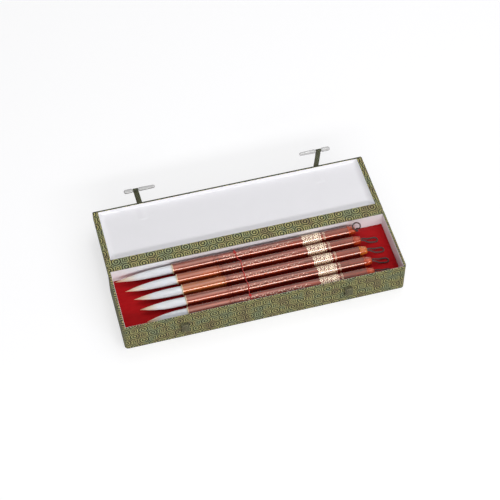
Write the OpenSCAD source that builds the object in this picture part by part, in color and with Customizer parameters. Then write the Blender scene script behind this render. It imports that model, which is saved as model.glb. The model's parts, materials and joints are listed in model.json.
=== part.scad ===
// Brush set box: a long cloth-covered card box with a raised satin floor, a hinged shallow lid,
// two bone-like pins on cloth straps, and five calligraphy brushes tied down side by side.
// X runs along the box, +Y to the hinge, +Z up. The origin is the centre of the underside.
// The lid is drawn folded fully back.

/* [Box] */
// Outside length of the box
box_l = 320; // [316:1:360]
// Outside depth of the box, front to hinge
box_d = 83.2; // [75:0.1:110]
// Height of the tray's rim
box_h = 38.5; // [38:0.5:60]
// Radius of the tray's front corners
front_corner_r = 4; // [2.5:0.5:6]
// Radius of the corners at the hinge and on the lid
hinge_corner_r = 1.5; // [1:0.25:3]

/* [Boards and coverings] */
// Thickness of the brocade cover
cloth_t = 0.4; // [0.3:0.05:0.6]
// Thickness of the white lining paper
paper_t = 0.3; // [0.2:0.05:0.5]
// Thickness of the sheet under the tray
foot_t = 0.5; // [0.3:0.1:1]
// Thickness of the bottom board
bottom_t = 2; // [1.5:0.25:3]
// Thickness of the front wall board
front_t = 1.2; // [1:0.1:2]
// Thickness of the end wall boards
end_t = 2.3; // [1.5:0.1:3.5]
// Thickness of the rear wall board
rear_t = 4.3; // [3:0.1:4.8]

/* [Raised floor] */
// Height of the floor board's top above the table
floor_z = 18.5; // [12:0.5:19]
// Thickness of the floor board
floor_t = 2; // [1.5:0.25:3]
// Thickness of the card risers under the floor
riser_t = 2; // [1.5:0.5:4]
// Number of card risers
riser_count = 5; // [3:1:7]
// Thickness of the satin cushion along its edges
cushion_edge = 2.5; // [1.5:0.25:3.5]
// Rise of the cushion's crown above its edges
cushion_crown = 3; // [1:0.25:3.5]
// How far the cushion's long sides draw in between its corners
cushion_draw = 0.7; // [0:0.1:1.2]

/* [Lid] */
// Depth of the recess inside the lid
lid_recess = 5; // [4.5:0.25:8]
// Thickness of the lid board
lid_board_t = 2.5; // [2:0.25:4]
// Width of the lid's end cheeks, cover included
lid_cheek_w = 6.3; // [4:0.1:9]
// Width of the lid's rail at the hinge, cover included
lid_rail_w = 10.8; // [7:0.1:14]
// Thickness of the lid's padding along its edges
pad_edge = 3.5; // [2:0.25:5]
// Rise of the lid's padding above its edges
pad_crown = 3; // [1:0.25:5]

/* [Straps and pins] */
// Distance of each strap from the box's end
strap_inset = 55; // [45:1:70]
// Width of a strap
strap_w = 6.2; // [5:0.2:8]
// Thickness of a strap, two layers of cloth
strap_t = 0.6; // [0.5:0.1:0.8]
// Length of a strap from its fold to the pin
strap_l = 18; // [16:0.2:24]
// Length of the strap's end under the lid's lining
strap_tail_l = 20; // [12:1:30]
// Angle of the left strap above the rim
left_strap_rise = 3; // [0:1:40]
// Angle of the right strap above the rim
right_strap_rise = 65; // [0:1:65]
// Sideways drift of the left strap along its length
left_strap_drift = -0.5; // [-6:0.5:6]
// Sideways drift of the right strap along its length
right_strap_drift = 4.5; // [-6:0.5:6]
// Length of a pin's inner part, from the strap's centre
pin_inner_l = 22.8; // [18:0.2:26]
// Length of a pin's outer part, from the strap's centre
pin_outer_l = 13.7; // [8:0.1:16]
// Width of a pin
pin_w = 5; // [4:0.2:6]
// Thickness of a pin
pin_t = 3.2; // [3:0.1:4]

/* [Pin loops] */
// Width of a cloth loop on the front
loop_w = 9; // [7:0.5:12]
// Height of a cloth loop
loop_h = 11.5; // [9:0.5:14]
// Distance from the strap's centre to the loop's centre
loop_shift = 12.4; // [10:0.2:16]
// Height of a loop's top above the table
loop_top_z = 26; // [22:0.5:28]

/* [Brushes] */
// Radius of the barrel
barrel_r = 5.9; // [5:0.1:6.2]
// Radius of the head that holds the hair
head_r = 6.1; // [5.2:0.1:6.3]
// Length of the head
head_l = 49.5; // [40:0.5:60]
// Length of a brush from the head's mouth to the cap's end
handle_l = 212.5; // [205:0.5:216]
// Length of the end cap
cap_l = 9.2; // [8:0.1:14]
// Distance from the head's mouth to the gilt band
band_x = 148.5; // [130:0.5:160]
// Length of the gilt band
band_l = 24; // [18:0.5:30]
// Thickness of the gilt band
band_t = 0.12; // [0.08:0.02:0.2]
// Space between the rearmost brush and the rear wall's lining
row_gap = 1.8; // [1:0.05:2]
// Space between the frontmost brush and the front wall's lining
row_front_gap = 1; // [1:0.05:2]
// Radius of the hair bundle where it leaves the head
hair_r = 4.6; // [4:0.1:4.8]

/* [Hidden] */
$fn = 48;

// Clearances
hinge_gap = 0.3;      // between the rear faces of tray and lid when the lid lies back
hinge_cloth_t = 0.3;  // cloth that bridges both rims
fit = 0.3;            // around the cushion and between soft pieces
fold_gap = 0.35;      // round a strap's fold line
neck_fit = 0.07;      // radial, pin neck in the strap's eye
paper_drop = 0.2;     // the lining's top edge below the rim's cover
join = 0.01;          // overlap that makes the pieces of one solid meet

// Tray, measured to the inner faces of its boards
end_x = box_l / 2 - cloth_t - end_t;
front_y = -box_d / 2 + cloth_t + front_t;
rear_y = box_d / 2 - cloth_t - rear_t;
wall_top = box_h - cloth_t;
cushion_top = floor_z + cushion_edge + cushion_crown;

// Lid, folded back
lid_d = box_d;
hinge_y = box_d / 2 + hinge_gap / 2;
hinge_z = box_h + hinge_cloth_t;
lid_y0 = box_d / 2 + hinge_gap;
lid_y1 = lid_y0 + lid_d;
lid_floor_z = box_h - lid_recess;
lid_board_z1 = lid_floor_z - paper_t;
lid_board_z0 = lid_board_z1 - lid_board_t;
lid_edge_z = lid_board_z0 - pad_edge;
pad_draw = 0.4;
lid_in_x = box_l / 2 - lid_cheek_w + paper_t;
lid_in_y0 = lid_y0 + lid_rail_w - paper_t;
lid_in_y1 = lid_y1 - cloth_t - front_t;

// Straps
strap_x = box_l / 2 - strap_inset;
fold_y = lid_y1 + strap_t / 2 + fit;
fold_z = box_h - strap_t / 2;
strap_slot_y = lid_in_y1 + strap_t;
neck_r = 1.2;
neck_l = strap_w + 1.2;
eye_in_r = neck_r + neck_fit;
eye_out_r = eye_in_r + strap_t;
pin_taper = 1.2;   // how much narrower the pin is at its inner end
loop_x = strap_x - loop_shift;
loop_t = 0.9;
loop_corner_r = 1.2;  // inside a loop
loop_gap = eye_out_r + pin_t / 2 + 2.5 * fit;

// Brushes
brush_count = 5;
brush_z = cushion_top + fit + max(head_r, barrel_r);
mouth_x = [-90, -88.5, -86, -85.5, -87];
hair_l = [64.5, 58, 53.5, 51, 45.5];
hair_bend = [[0, -1.6], [0, -1.7], [1.4, -0.4], [1.8, -0.4], [0, -1.2]];  // how far each point leans
hair_rings = 4;             // rings of strands round the middle one
hair_root_l = 3;            // slice of the backing that holds the strands
hair_root_in = 0.4;         // how far the backing sits inside the head's mouth
hair_steps = [0, 0.3, 0.6, 0.85];
tip_gap = 0.05;              // between the strands' ends
head_bore_l = hair_root_l + hair_root_in;
groove_w = 0.9;
groove_deep = 0.5;
ring_w = 0.6;               // a fine turned line
ring_deep = 0.3;
ring_back = 2.6;            // from the joint of head and barrel to the fine lines on both sides of it
cap_collar_l = 1.2;
cap_waist_r = barrel_r - 0.9;
cap_end_r = 4.4;
cord_r = 0.8;
thread_r = 0.4;

widest_r = max(head_r, barrel_r);
row_d = rear_y - front_y - 2 * paper_t - row_gap - row_front_gap;
brush_pitch = (row_d - 2 * widest_r) / (brush_count - 1);
brush_1_y = rear_y - paper_t - row_gap - widest_r;
function brush_y(i) = brush_1_y - brush_pitch * (i - 1);

// Route of a trailing hanging loop, from the middle of the cap's end face
LOOP_LYING = [
    [0, 1, 0], [1.5, 1.1, 0], [3.5, 1.5, -0.6], [5.5, 2, -1.9], [7.5, 2.4, -3.4], [9.5, 2.8, -4.6],
    [12, 3.1, -5.3], [15, 3.3, -5.7], [17.6, 3.3, -6], [19.4, 2.7, -6.2], [20.4, 1.2, -6.3],
    [20.4, -0.6, -6.3], [19.4, -2.1, -6.2], [17.6, -2.7, -6], [15, -2.7, -5.7], [12, -2.5, -5.3],
    [9.5, -2.3, -4.6], [7.5, -2, -3.4], [5.5, -1.7, -1.9], [3.5, -1.4, -0.6], [1.5, -1.1, 0], [0, -1, 0]
];
// Route of the first brush's loop, which stands up as a ring
LOOP_STANDING = [
    [0, 1.1, -1], [1, 1.1, -1], [2.6, 0.6, 0.8], [3.4, -1.6, 3.2], [3.6, -3.4, 5.5], [4.8, -2.9, 7.6],
    [4.6, -1.3, 10.1], [2.5, 0.1, 11.7], [-0.5, 0.6, 11.7], [-2.9, 0.1, 10.1], [-3.7, -1.2, 7.6],
    [-2.8, -2.6, 5.6], [-0.9, -3.7, 4.7], [1, -4.2, 4.3], [1.9, -3.8, 2], [1, -1.1, -1], [0, -1.1, -1]
];
// The thread: where it crosses the row, how far it stands off the barrels, and how far it sags between them
thread_x = -15.5;
thread_drift = [-2.5, 0.6, 0, 0.4, -1];
thread_off = barrel_r + thread_r + 0.35;
thread_side = barrel_r + thread_r + 0.12;
thread_sag = 2.6;
thread_end_z = floor_z + cushion_edge + 1.2;

// Shapes shared by several pieces

// Plan outline with two radii: front corners at y0, hinge corners at y1
module plan(x_half, y0, y1, r0, r1) {
    union() {
        translate([-x_half + r0, y0]) square([2 * (x_half - r0), y1 - y0]);
        translate([-x_half, y0 + r0]) square([2 * x_half, y1 - y0 - r0 - r1]);
        translate([-x_half + r1, y1 - r1 - join]) square([2 * (x_half - r1), r1 + join]);
        for (side = [-1, 1]) {
            translate([side * (x_half - r0), y0 + r0]) circle(r = r0);
            translate([side * (x_half - r1), y1 - r1]) circle(r = r1);
        }
    }
}

module tray_plan(inset = 0) {
    plan(
        box_l / 2 - inset, -box_d / 2 + inset, box_d / 2 - inset,
        front_corner_r - inset, hinge_corner_r - inset
    );
}

module lid_plan(inset = 0) {
    r = hinge_corner_r - inset;
    plan(box_l / 2 - inset, lid_y0 + inset, lid_y1 - inset, r, r);
}

// A board cut from the tray's plan: the part inside the given rectangle
module tray_board(x0, x1, y0, y1, z0, z1) {
    translate([0, 0, z0]) linear_extrude(z1 - z0) intersection() {
        tray_plan(cloth_t);
        translate([x0, y0]) square([x1 - x0, y1 - y0]);
    }
}

module lid_strip(x0, x1, y0, y1) {
    translate([0, 0, lid_board_z1]) linear_extrude(wall_top - lid_board_z1) intersection() {
        lid_plan(cloth_t);
        translate([x0, y0]) square([x1 - x0, y1 - y0]);
    }
}

// A closed pad: a flat base and a crowned top, with sides that draw in between the corners
function pad_grid(count) = [for (i = [0:count]) let (t = 2 * i / count - 1) sin(90 * t)];
function pad_point(u, v, half, edge, crown, draw) =
    [
        half[0] * u - (abs(u) == 1 ? sign(u) * draw * (1 - v * v) : 0),
        half[1] * v - (abs(v) == 1 ? sign(v) * draw * (1 - u * u) : 0),
        edge + crown * (1 - pow(abs(u), 16)) * (1 - pow(abs(v), 8))
    ];

module crowned_pad(half, edge, crown, draw, nx, ny) {
    us = pad_grid(nx);
    vs = pad_grid(ny);
    top = [for (v = vs) for (u = us) pad_point(u, v, half, edge, crown, draw)];
    bottom = [for (p = top) [p[0], p[1], 0]];
    n = (nx + 1) * (ny + 1);
    row = nx + 1;
    rim = concat(
        [for (i = [0:nx - 1]) i],
        [for (j = [0:ny - 1]) j * row + nx],
        [for (i = [nx:-1:1]) ny * row + i],
        [for (j = [ny:-1:1]) j * row]
    );
    rim_n = len(rim);
    faces = concat(
        [for (j = [0:ny - 1]) for (i = [0:nx - 1]) [j * row + i, (j + 1) * row + i, (j + 1) * row + i + 1]],
        [for (j = [0:ny - 1]) for (i = [0:nx - 1]) [j * row + i, (j + 1) * row + i + 1, j * row + i + 1]],
        [for (k = [0:rim_n - 1]) [rim[k], rim[(k + 1) % rim_n], rim[(k + 1) % rim_n] + n]],
        [for (k = [0:rim_n - 1]) [rim[k], rim[(k + 1) % rim_n] + n, rim[k] + n]],
        [[for (k = [0:rim_n - 1]) rim[k] + n]]
    );
    polyhedron(points = concat(top, bottom), faces = faces, convexity = 4);
}

// A round tube swept along a route, one ring at each point, turned with the least twist
function unit(v) = v / norm(v);
function heading(p, i) =
    unit(
        i == 0 ? p[1] - p[0]
        : i == len(p) - 1 ? p[i] - p[i - 1]
        : unit(p[i] - p[i - 1]) + unit(p[i + 1] - p[i])
    );
function across(v, t) = unit(v - (v * t) * t);
function first_side(t) = across(abs(t[2]) < 0.9 ? [0, 0, 1] : [1, 0, 0], t);
function side_vectors(p, i = 0, found = []) =
    i == len(p) ? found
    : side_vectors(
        p, i + 1,
        concat(found, [i == 0 ? first_side(heading(p, 0)) : across(found[i - 1], heading(p, i))])
    );

module tube_along(route, radius, sides = 8) {
    n = len(route);
    us = side_vectors(route);
    points = [
        for (i = [0:n - 1])
            let (t = heading(route, i), u = us[i], v = cross(t, u))
            for (k = [0:sides - 1])
                route[i] + radius * (cos(360 * k / sides) * u + sin(360 * k / sides) * v)
    ];
    faces = concat(
        [for (i = [0:n - 2]) for (k = [0:sides - 1])
            [i * sides + k, (i + 1) * sides + k, (i + 1) * sides + (k + 1) % sides]],
        [for (i = [0:n - 2]) for (k = [0:sides - 1])
            [i * sides + k, (i + 1) * sides + (k + 1) % sides, i * sides + (k + 1) % sides]],
        [[for (k = [0:sides - 1]) k]],
        [[for (k = [sides - 1:-1:0]) (n - 1) * sides + k]]
    );
    polyhedron(points = points, faces = faces, convexity = 6);
}

// Tray

module foot_sheet() {
    color("dimgray") linear_extrude(foot_t) tray_plan();
}

module bottom_board() {
    color("tan") translate([0, 0, foot_t])
        translate([-end_x, front_y, 0]) cube([2 * end_x, rear_y - front_y, bottom_t]);
}

module front_wall() {
    color("tan") tray_board(-box_l, box_l, -box_d, front_y, foot_t, wall_top);
}

module rear_wall() {
    color("tan") tray_board(-box_l, box_l, rear_y, box_d, foot_t, wall_top);
}

module end_wall(side) {
    x0 = side < 0 ? -box_l : end_x;
    color("tan") tray_board(x0, x0 + box_l - (side < 0 ? end_x : 0), front_y, rear_y, foot_t, wall_top);
}

module left_wall() {
    end_wall(-1);
}

module right_wall() {
    end_wall(1);
}

// Brocade round the outside and over the rim
module tray_cover() {
    color("darkolivegreen") difference() {
        translate([0, 0, foot_t]) linear_extrude(box_h - foot_t) tray_plan();
        translate([0, 0, foot_t - join]) linear_extrude(wall_top - foot_t + join) tray_plan(cloth_t);
        translate([-end_x, front_y, 0]) cube([2 * end_x, rear_y - front_y, 2 * box_h]);
    }
}

// White paper on the inner faces of the walls
module tray_lining() {
    color("white") translate([0, 0, floor_z]) linear_extrude(wall_top - paper_drop - floor_z) difference() {
        translate([-end_x, front_y]) square([2 * end_x, rear_y - front_y]);
        translate([-end_x + paper_t, front_y + paper_t])
            square([2 * (end_x - paper_t), rear_y - front_y - 2 * paper_t]);
    }
}

module floor_risers() {
    z0 = foot_t + bottom_t;
    span = 2 * end_x - riser_t;
    color("tan") for (i = [0:riser_count - 1])
        translate([-end_x + span * i / (riser_count - 1), front_y, z0])
            cube([riser_t, rear_y - front_y, floor_z - floor_t - z0]);
}

module floor_board() {
    color("tan") translate([-end_x, front_y, floor_z - floor_t])
        cube([2 * end_x, rear_y - front_y, floor_t]);
}

// Red satin over wadding, crowned, its long sides drawn in
module floor_cushion() {
    half = [end_x - paper_t - fit, (rear_y - front_y) / 2 - paper_t - fit];
    color("firebrick") translate([0, (front_y + rear_y) / 2, floor_z])
        crowned_pad(half, cushion_edge, cushion_crown, cushion_draw, 36, 14);
}

// Half a rounded rectangle that stands off the face at x = 0
module arch(deep, half_h, r, back = 0) {
    translate([-deep, r - half_h]) square([deep + back, 2 * (half_h - r)]);
    translate([r - deep, -half_h]) square([deep - r + back, 2 * half_h]);
    for (side = [-1, 1]) translate([r - deep, side * (half_h - r)]) circle(r = r);
}

// A band of brocade standing off the front face, open at both ends for the pin
module pin_loop(side) {
    half_h = loop_h / 2;
    color("olivedrab") translate([side * loop_x - loop_w / 2, -box_d / 2, loop_top_z - half_h])
        rotate([90, 0, 90]) linear_extrude(loop_w) difference() {
            arch(loop_gap + loop_t, half_h, loop_corner_r + loop_t);
            arch(loop_gap, half_h - loop_t, loop_corner_r, join);
        }
}

module left_pin_loop() {
    pin_loop(-1);
}

module right_pin_loop() {
    pin_loop(1);
}

// Cloth that bridges the tray's rear rim and the lid's rail, and folds between them
module hinge_cloth() {
    x_half = box_l / 2 - hinge_corner_r;
    color("darkolivegreen") translate([-x_half, rear_y, box_h])
        cube([2 * x_half, lid_y0 + lid_rail_w - rear_y, hinge_cloth_t]);
}

// Red thread over the five barrels, its ends sewn down at the cushion's long sides
function over_brush(i, turn) =
    [
        thread_x + thread_drift[i - 1] - 0.2 * cos(turn),
        brush_y(i) + thread_off * cos(turn),
        brush_z + thread_off * sin(turn)
    ];
function between_brushes(i) =
    let (a = over_brush(i, 90), b = over_brush(i + 1, 90))
    [(a[0] + b[0]) / 2, (a[1] + b[1]) / 2, a[2] - thread_sag];

module tie_thread() {
    rear = over_brush(1, 90) + [-1, thread_side, -thread_off];
    front = over_brush(5, 90) + [-0.6, -thread_side, -thread_off];
    route = concat(
        [[rear[0] - 0.4, rear[1], thread_end_z], rear],
        [for (turn = [28, 58, 90, 122]) over_brush(1, turn)],
        [between_brushes(1)],
        [for (i = [2:4]) for (turn = [58, 90, 122, 360]) turn == 360 ? between_brushes(i) : over_brush(i, turn)],
        [for (turn = [58, 90, 122, 152]) over_brush(5, turn)],
        [front, [front[0] - 0.4, front[1], thread_end_z]]
    );
    color("red") tube_along(route, thread_r);
}

// Lid

// The room that each strap takes up: a pocket in the board, a slot up the lip's inner face, a notch over its top
module strap_room() {
    for (side = [-1, 1]) translate([side * strap_x - strap_w / 2 - fit, 0, 0]) {
        w = strap_w + 2 * fit;
        translate([0, strap_slot_y - strap_tail_l - fit, lid_board_z1 - strap_t])
            cube([w, strap_tail_l + fit, strap_t + join]);
        translate([0, lid_in_y1 - join, lid_board_z1 - strap_t]) cube([w, strap_t + join, box_h]);
        translate([0, lid_in_y1 - join, box_h - strap_t]) cube([w, 4 * front_t, 2 * strap_t]);
    }
}

// The board, with a pocket for each strap's end
module lid_board() {
    color("tan") difference() {
        translate([0, 0, lid_board_z0]) linear_extrude(lid_board_t) lid_plan(cloth_t);
        strap_room();
    }
}

// Thin front edge, cut where the straps climb it and pass over it
module lid_front_lip() {
    color("tan") difference() {
        lid_strip(-box_l, box_l, lid_in_y1, lid_y1);
        strap_room();
    }
}

module lid_cheek(side) {
    x0 = side < 0 ? -box_l : lid_in_x;
    color("tan") lid_strip(x0, x0 + box_l - (side < 0 ? lid_in_x : 0), lid_in_y0, lid_in_y1);
}

module lid_left_cheek() {
    lid_cheek(-1);
}

module lid_right_cheek() {
    lid_cheek(1);
}

module lid_rail() {
    color("tan") lid_strip(-box_l, box_l, 0, lid_in_y0);
}

// Brocade round the lid's sides and over its rims
module lid_cover() {
    color("darkolivegreen") difference() {
        translate([0, 0, lid_edge_z]) linear_extrude(box_h - lid_edge_z) lid_plan();
        translate([0, 0, lid_edge_z - join]) linear_extrude(wall_top - lid_edge_z + join) lid_plan(cloth_t);
        translate([-lid_in_x, lid_in_y0, 0]) cube([2 * lid_in_x, lid_in_y1 - lid_in_y0, 2 * box_h]);
        strap_room();
    }
}

// White paper tray inside the lid
module lid_lining() {
    color("white") difference() {
        translate([-lid_in_x, lid_in_y0, lid_board_z1])
            cube([2 * lid_in_x, lid_in_y1 - lid_in_y0, wall_top - paper_drop - lid_board_z1]);
        translate([-lid_in_x + paper_t, lid_in_y0 + paper_t, lid_floor_z])
            cube([2 * (lid_in_x - paper_t), lid_in_y1 - lid_in_y0 - 2 * paper_t, box_h]);
    }
}

// Wadding under the brocade on the lid's outer face
module lid_padding() {
    half = [box_l / 2 - cloth_t - fit / 2, lid_d / 2 - cloth_t - fit / 2];
    color("darkolivegreen") translate([0, (lid_y0 + lid_y1) / 2, lid_board_z0]) rotate([180, 0, 0])
        crowned_pad(half, pad_edge, pad_crown, pad_draw, 28, 12);
}

// The strap's end: it lies under the lining, climbs between lining and lip, and passes over the lip
module strap_tail(side) {
    z0 = lid_board_z1 - strap_t;
    color("darkolivegreen") translate([side * strap_x - strap_w / 2, 0, 0]) union() {
        translate([0, strap_slot_y - strap_tail_l, z0]) cube([strap_w, strap_tail_l, strap_t]);
        translate([0, lid_in_y1, z0]) cube([strap_w, strap_t, box_h - z0]);
        translate([0, lid_in_y1, box_h - strap_t])
            cube([strap_w, fold_y - fold_gap / 2 - lid_in_y1, strap_t]);
    }
}

module left_strap_tail() {
    strap_tail(-1);
}

module right_strap_tail() {
    strap_tail(1);
}

// Straps and pins, each drawn along +Y from the strap's fold line

module at_fold(side) {
    rise = side < 0 ? left_strap_rise : right_strap_rise;
    translate([side * strap_x, fold_y, fold_z]) rotate([rise, 0, 0]) children();
}

function drift(side) = side < 0 ? left_strap_drift : right_strap_drift;

module strap(side) {
    y0 = fold_gap + strap_t / 2;
    y1 = strap_l - eye_in_r - strap_t / 2;
    half = strap_w / 2;
    d = drift(side);
    color("darkolivegreen") at_fold(side) difference() {
        union() {
            translate([0, 0, -strap_t / 2]) linear_extrude(strap_t)
                polygon([[-half, y0], [half, y0], [half + d, y1], [d - half, y1]]);
            translate([-half, y0, 0]) rotate([0, 90, 0]) cylinder(r = strap_t / 2, h = strap_w);
            translate([d - half, strap_l, 0]) rotate([0, 90, 0]) cylinder(r = eye_out_r, h = strap_w);
        }
        translate([d - strap_w, strap_l, 0]) rotate([0, 90, 0]) cylinder(r = eye_in_r, h = 2 * strap_w);
    }
}

module left_strap() {
    strap(-1);
}

module right_strap() {
    strap(1);
}

// One flat arm of a pin, from the neck outward along +X, with a round end
module pin_arm(length, end_w) {
    end_r = end_w / 2;
    translate([0, 0, -pin_t / 2]) linear_extrude(pin_t) union() {
        polygon([[0, -pin_w / 2], [length - end_r, -end_r], [length - end_r, end_r], [0, pin_w / 2]]);
        translate([length - end_r, 0]) circle(r = end_r);
    }
}

module pin(side) {
    color("ivory") at_fold(side) translate([drift(side), strap_l, 0]) scale([-side, 1, 1]) union() {
        translate([-neck_l / 2 - join, 0, 0]) rotate([0, 90, 0]) cylinder(r = neck_r, h = neck_l + 2 * join);
        translate([neck_l / 2, 0, 0]) pin_arm(pin_inner_l - neck_l / 2, pin_w - pin_taper);
        rotate([0, 180, 0]) translate([neck_l / 2, 0, 0]) pin_arm(pin_outer_l - neck_l / 2, pin_w);
    }
}

module left_pin() {
    pin(-1);
}

module right_pin() {
    pin(1);
}

// Brushes, each drawn with its head's mouth at the origin and its handle along +X

module at_brush(i) {
    translate([mouth_x[i - 1], brush_y(i), brush_z]) children();
}

// Revolve a profile of [x, radius] points about the brush's own axis
module turned(profile) {
    rotate([0, 90, 0]) rotate_extrude() polygon([for (p = profile) [p[1], p[0]]]);
}

// How wide the hair bundle is at a share of its length, against its width at the mouth
function hair_shape(s) = (1 - pow(s, 2.2)) * (1 + 0.25 * s);

// Strands in rings round a middle one, drawn together to the point and joined to a round backing.
// The bundle leans by its bend times the square of the share of its length
module hair(length, bend) {
    pitch = hair_r / (hair_rings + 0.5);
    strand_r = 0.48 * pitch;
    translate([hair_root_in, 0, 0]) rotate([0, 90, 0]) cylinder(r = hair_r, h = hair_root_l);
    for (ring = [0:hair_rings]) for (k = [0:max(1, 6 * ring) - 1]) {
        turn = 360 * k / max(1, 6 * ring);
        reach = length * (1 - 0.012 * ring);
        rings = [
            for (s = hair_steps) for (a = [0, 120, 240])
                let (w = hair_shape(s), out = ring * pitch * w, thick = strand_r * w)
                [
                    s == 0 ? hair_root_in + join : -reach * s,
                    out * cos(turn) + thick * cos(turn + a) + bend[0] * s * s,
                    out * sin(turn) + thick * sin(turn + a) + bend[1] * s * s
                ]
        ];
        n = len(hair_steps);
        tip = [[-reach, bend[0] + tip_gap * ring * cos(turn), bend[1] + tip_gap * ring * sin(turn)]];
        faces = concat(
            [for (j = [0:n - 2]) for (a = [0:2]) [j * 3 + a, j * 3 + (a + 1) % 3, (j + 1) * 3 + (a + 1) % 3]],
            [for (j = [0:n - 2]) for (a = [0:2]) [j * 3 + a, (j + 1) * 3 + (a + 1) % 3, (j + 1) * 3 + a]],
            [for (a = [0:2]) [(n - 1) * 3 + a, (n - 1) * 3 + (a + 1) % 3, n * 3]],
            [[2, 1, 0]]
        );
        polyhedron(points = concat(rings, tip), faces = faces, convexity = 2);
    }
}

module brush_hair(i) {
    color("ivory") at_brush(i) hair(hair_l[i - 1], hair_bend[i - 1]);
}

// The head: a turned sleeve, bored for the hair, with a fine line and a groove where it meets the barrel
module brush_head(i) {
    line_x = head_l - ring_back;
    color(i == 2 || i == 3 ? "peru" : "sienna") at_brush(i) turned([
        [0, hair_r], [0, head_r - 0.3], [0.3, head_r],
        [line_x - ring_w, head_r], [line_x - ring_w / 2, head_r - ring_deep], [line_x, head_r],
        [head_l - groove_w, head_r], [head_l - groove_w, head_r - groove_deep],
        [head_l, head_r - groove_deep], [head_l, 0], [head_bore_l, 0], [head_bore_l, hair_r]
    ]);
}

// The barrel: a plain rod with a fine line near each end
module brush_barrel(i) {
    x1 = handle_l - cap_l;
    a = head_l + ring_back;
    b = x1 - ring_back;
    color("saddlebrown") at_brush(i) turned([
        [head_l, 0], [head_l, barrel_r],
        [a - ring_w, barrel_r], [a - ring_w / 2, barrel_r - ring_deep], [a, barrel_r],
        [b, barrel_r], [b + ring_w / 2, barrel_r - ring_deep], [b + ring_w, barrel_r],
        [x1, barrel_r], [x1, 0]
    ]);
}

module brush_band(i) {
    color("goldenrod") at_brush(i) turned([
        [band_x, barrel_r], [band_x, barrel_r + band_t],
        [band_x + band_l, barrel_r + band_t], [band_x + band_l, barrel_r]
    ]);
}

// The cap: a collar, a waist, a tapering body with a fine line near its end, and a rounded end
module brush_cap(i) {
    x0 = handle_l - cap_l;
    x1 = x0 + cap_collar_l;
    line_x = handle_l - 2;
    color("chocolate") at_brush(i) turned([
        [x0, 0], [x0, head_r], [x1, head_r], [x1, cap_waist_r], [x1 + ring_w, cap_waist_r],
        [x1 + 2 * ring_w, barrel_r - 0.4], [line_x - ring_w, cap_end_r + 0.2],
        [line_x - ring_w / 2, cap_end_r - ring_deep], [line_x, cap_end_r + 0.1],
        [handle_l - 1, cap_end_r], [handle_l - 0.3, cap_end_r - 0.7], [handle_l, cap_end_r - 1.6], [handle_l, 0]
    ]);
}

module brush_cord(i) {
    color("maroon") at_brush(i) translate([handle_l, 0, 0])
        tube_along(i == 1 ? LOOP_STANDING : LOOP_LYING, cord_r);
}

foot_sheet();
bottom_board();
front_wall();
rear_wall();
left_wall();
right_wall();
tray_cover();
tray_lining();
floor_risers();
floor_board();
floor_cushion();
left_pin_loop();
right_pin_loop();
hinge_cloth();
tie_thread();
lid_board();
lid_front_lip();
lid_left_cheek();
lid_right_cheek();
lid_rail();
lid_cover();
lid_lining();
lid_padding();
left_strap_tail();
right_strap_tail();
left_strap();
right_strap();
left_pin();
right_pin();
for (i = [1:brush_count]) {
    brush_hair(i);
    brush_head(i);
    brush_barrel(i);
    brush_band(i);
    brush_cap(i);
    brush_cord(i);
}
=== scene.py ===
"""Scene of a calligraphy set box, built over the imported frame.

The box is a long tray covered in olive brocade with a shallow lid folded fully back. Five writing brushes
lie on a padded red satin floor under one red thread, and two pins on cloth straps close the lid. Each
sub-assembly is a class that holds its sizes in millimetres, builds its meshes from numpy arrays, and dresses
them in the finishes below.
"""

import json
import logging
import math
from dataclasses import dataclass, field
from enum import Enum

import bmesh
import bpy
import numpy as np
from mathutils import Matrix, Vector

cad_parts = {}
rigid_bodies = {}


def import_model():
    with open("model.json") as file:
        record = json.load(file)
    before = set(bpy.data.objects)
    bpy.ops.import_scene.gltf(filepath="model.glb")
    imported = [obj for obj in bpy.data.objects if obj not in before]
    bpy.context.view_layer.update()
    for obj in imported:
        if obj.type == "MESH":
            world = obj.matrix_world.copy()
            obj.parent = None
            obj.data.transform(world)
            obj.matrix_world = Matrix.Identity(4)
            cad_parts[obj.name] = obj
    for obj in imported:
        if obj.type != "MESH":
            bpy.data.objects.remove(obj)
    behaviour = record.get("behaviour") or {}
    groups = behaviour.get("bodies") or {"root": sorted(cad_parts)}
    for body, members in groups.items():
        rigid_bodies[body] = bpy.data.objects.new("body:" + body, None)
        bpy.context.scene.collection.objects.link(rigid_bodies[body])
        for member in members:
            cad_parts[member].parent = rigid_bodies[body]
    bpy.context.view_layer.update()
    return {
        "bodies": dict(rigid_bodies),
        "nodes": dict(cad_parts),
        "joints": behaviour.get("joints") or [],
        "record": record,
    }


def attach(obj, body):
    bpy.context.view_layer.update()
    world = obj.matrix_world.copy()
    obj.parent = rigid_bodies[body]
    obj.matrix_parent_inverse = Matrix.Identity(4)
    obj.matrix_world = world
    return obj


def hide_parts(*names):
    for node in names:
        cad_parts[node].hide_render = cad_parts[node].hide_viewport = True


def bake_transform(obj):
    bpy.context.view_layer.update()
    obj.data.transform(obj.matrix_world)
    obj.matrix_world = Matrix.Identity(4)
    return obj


LOG = logging.getLogger("calligraphy_box")
MM = 0.001
Colour = tuple[float, float, float]
Array = np.ndarray
Socket = bpy.types.NodeSocket
Piece = bpy.types.Object


# Colours and shader building


def srgb(red: float, green: float, blue: float) -> tuple[float, float, float, float]:
    """Turn a display colour into the linear colour that shaders use.

    Args:
        red: red from 0 to 255.
        green: green from 0 to 255.
        blue: blue from 0 to 255.

    Returns:
        The linear colour with full alpha.
    """
    channel = np.array([red, green, blue]) / 255
    linear = np.where(channel <= 0.04045, channel / 12.92, ((channel + 0.055) / 1.055) ** 2.4)
    return (float(linear[0]), float(linear[1]), float(linear[2]), 1.0)


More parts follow.
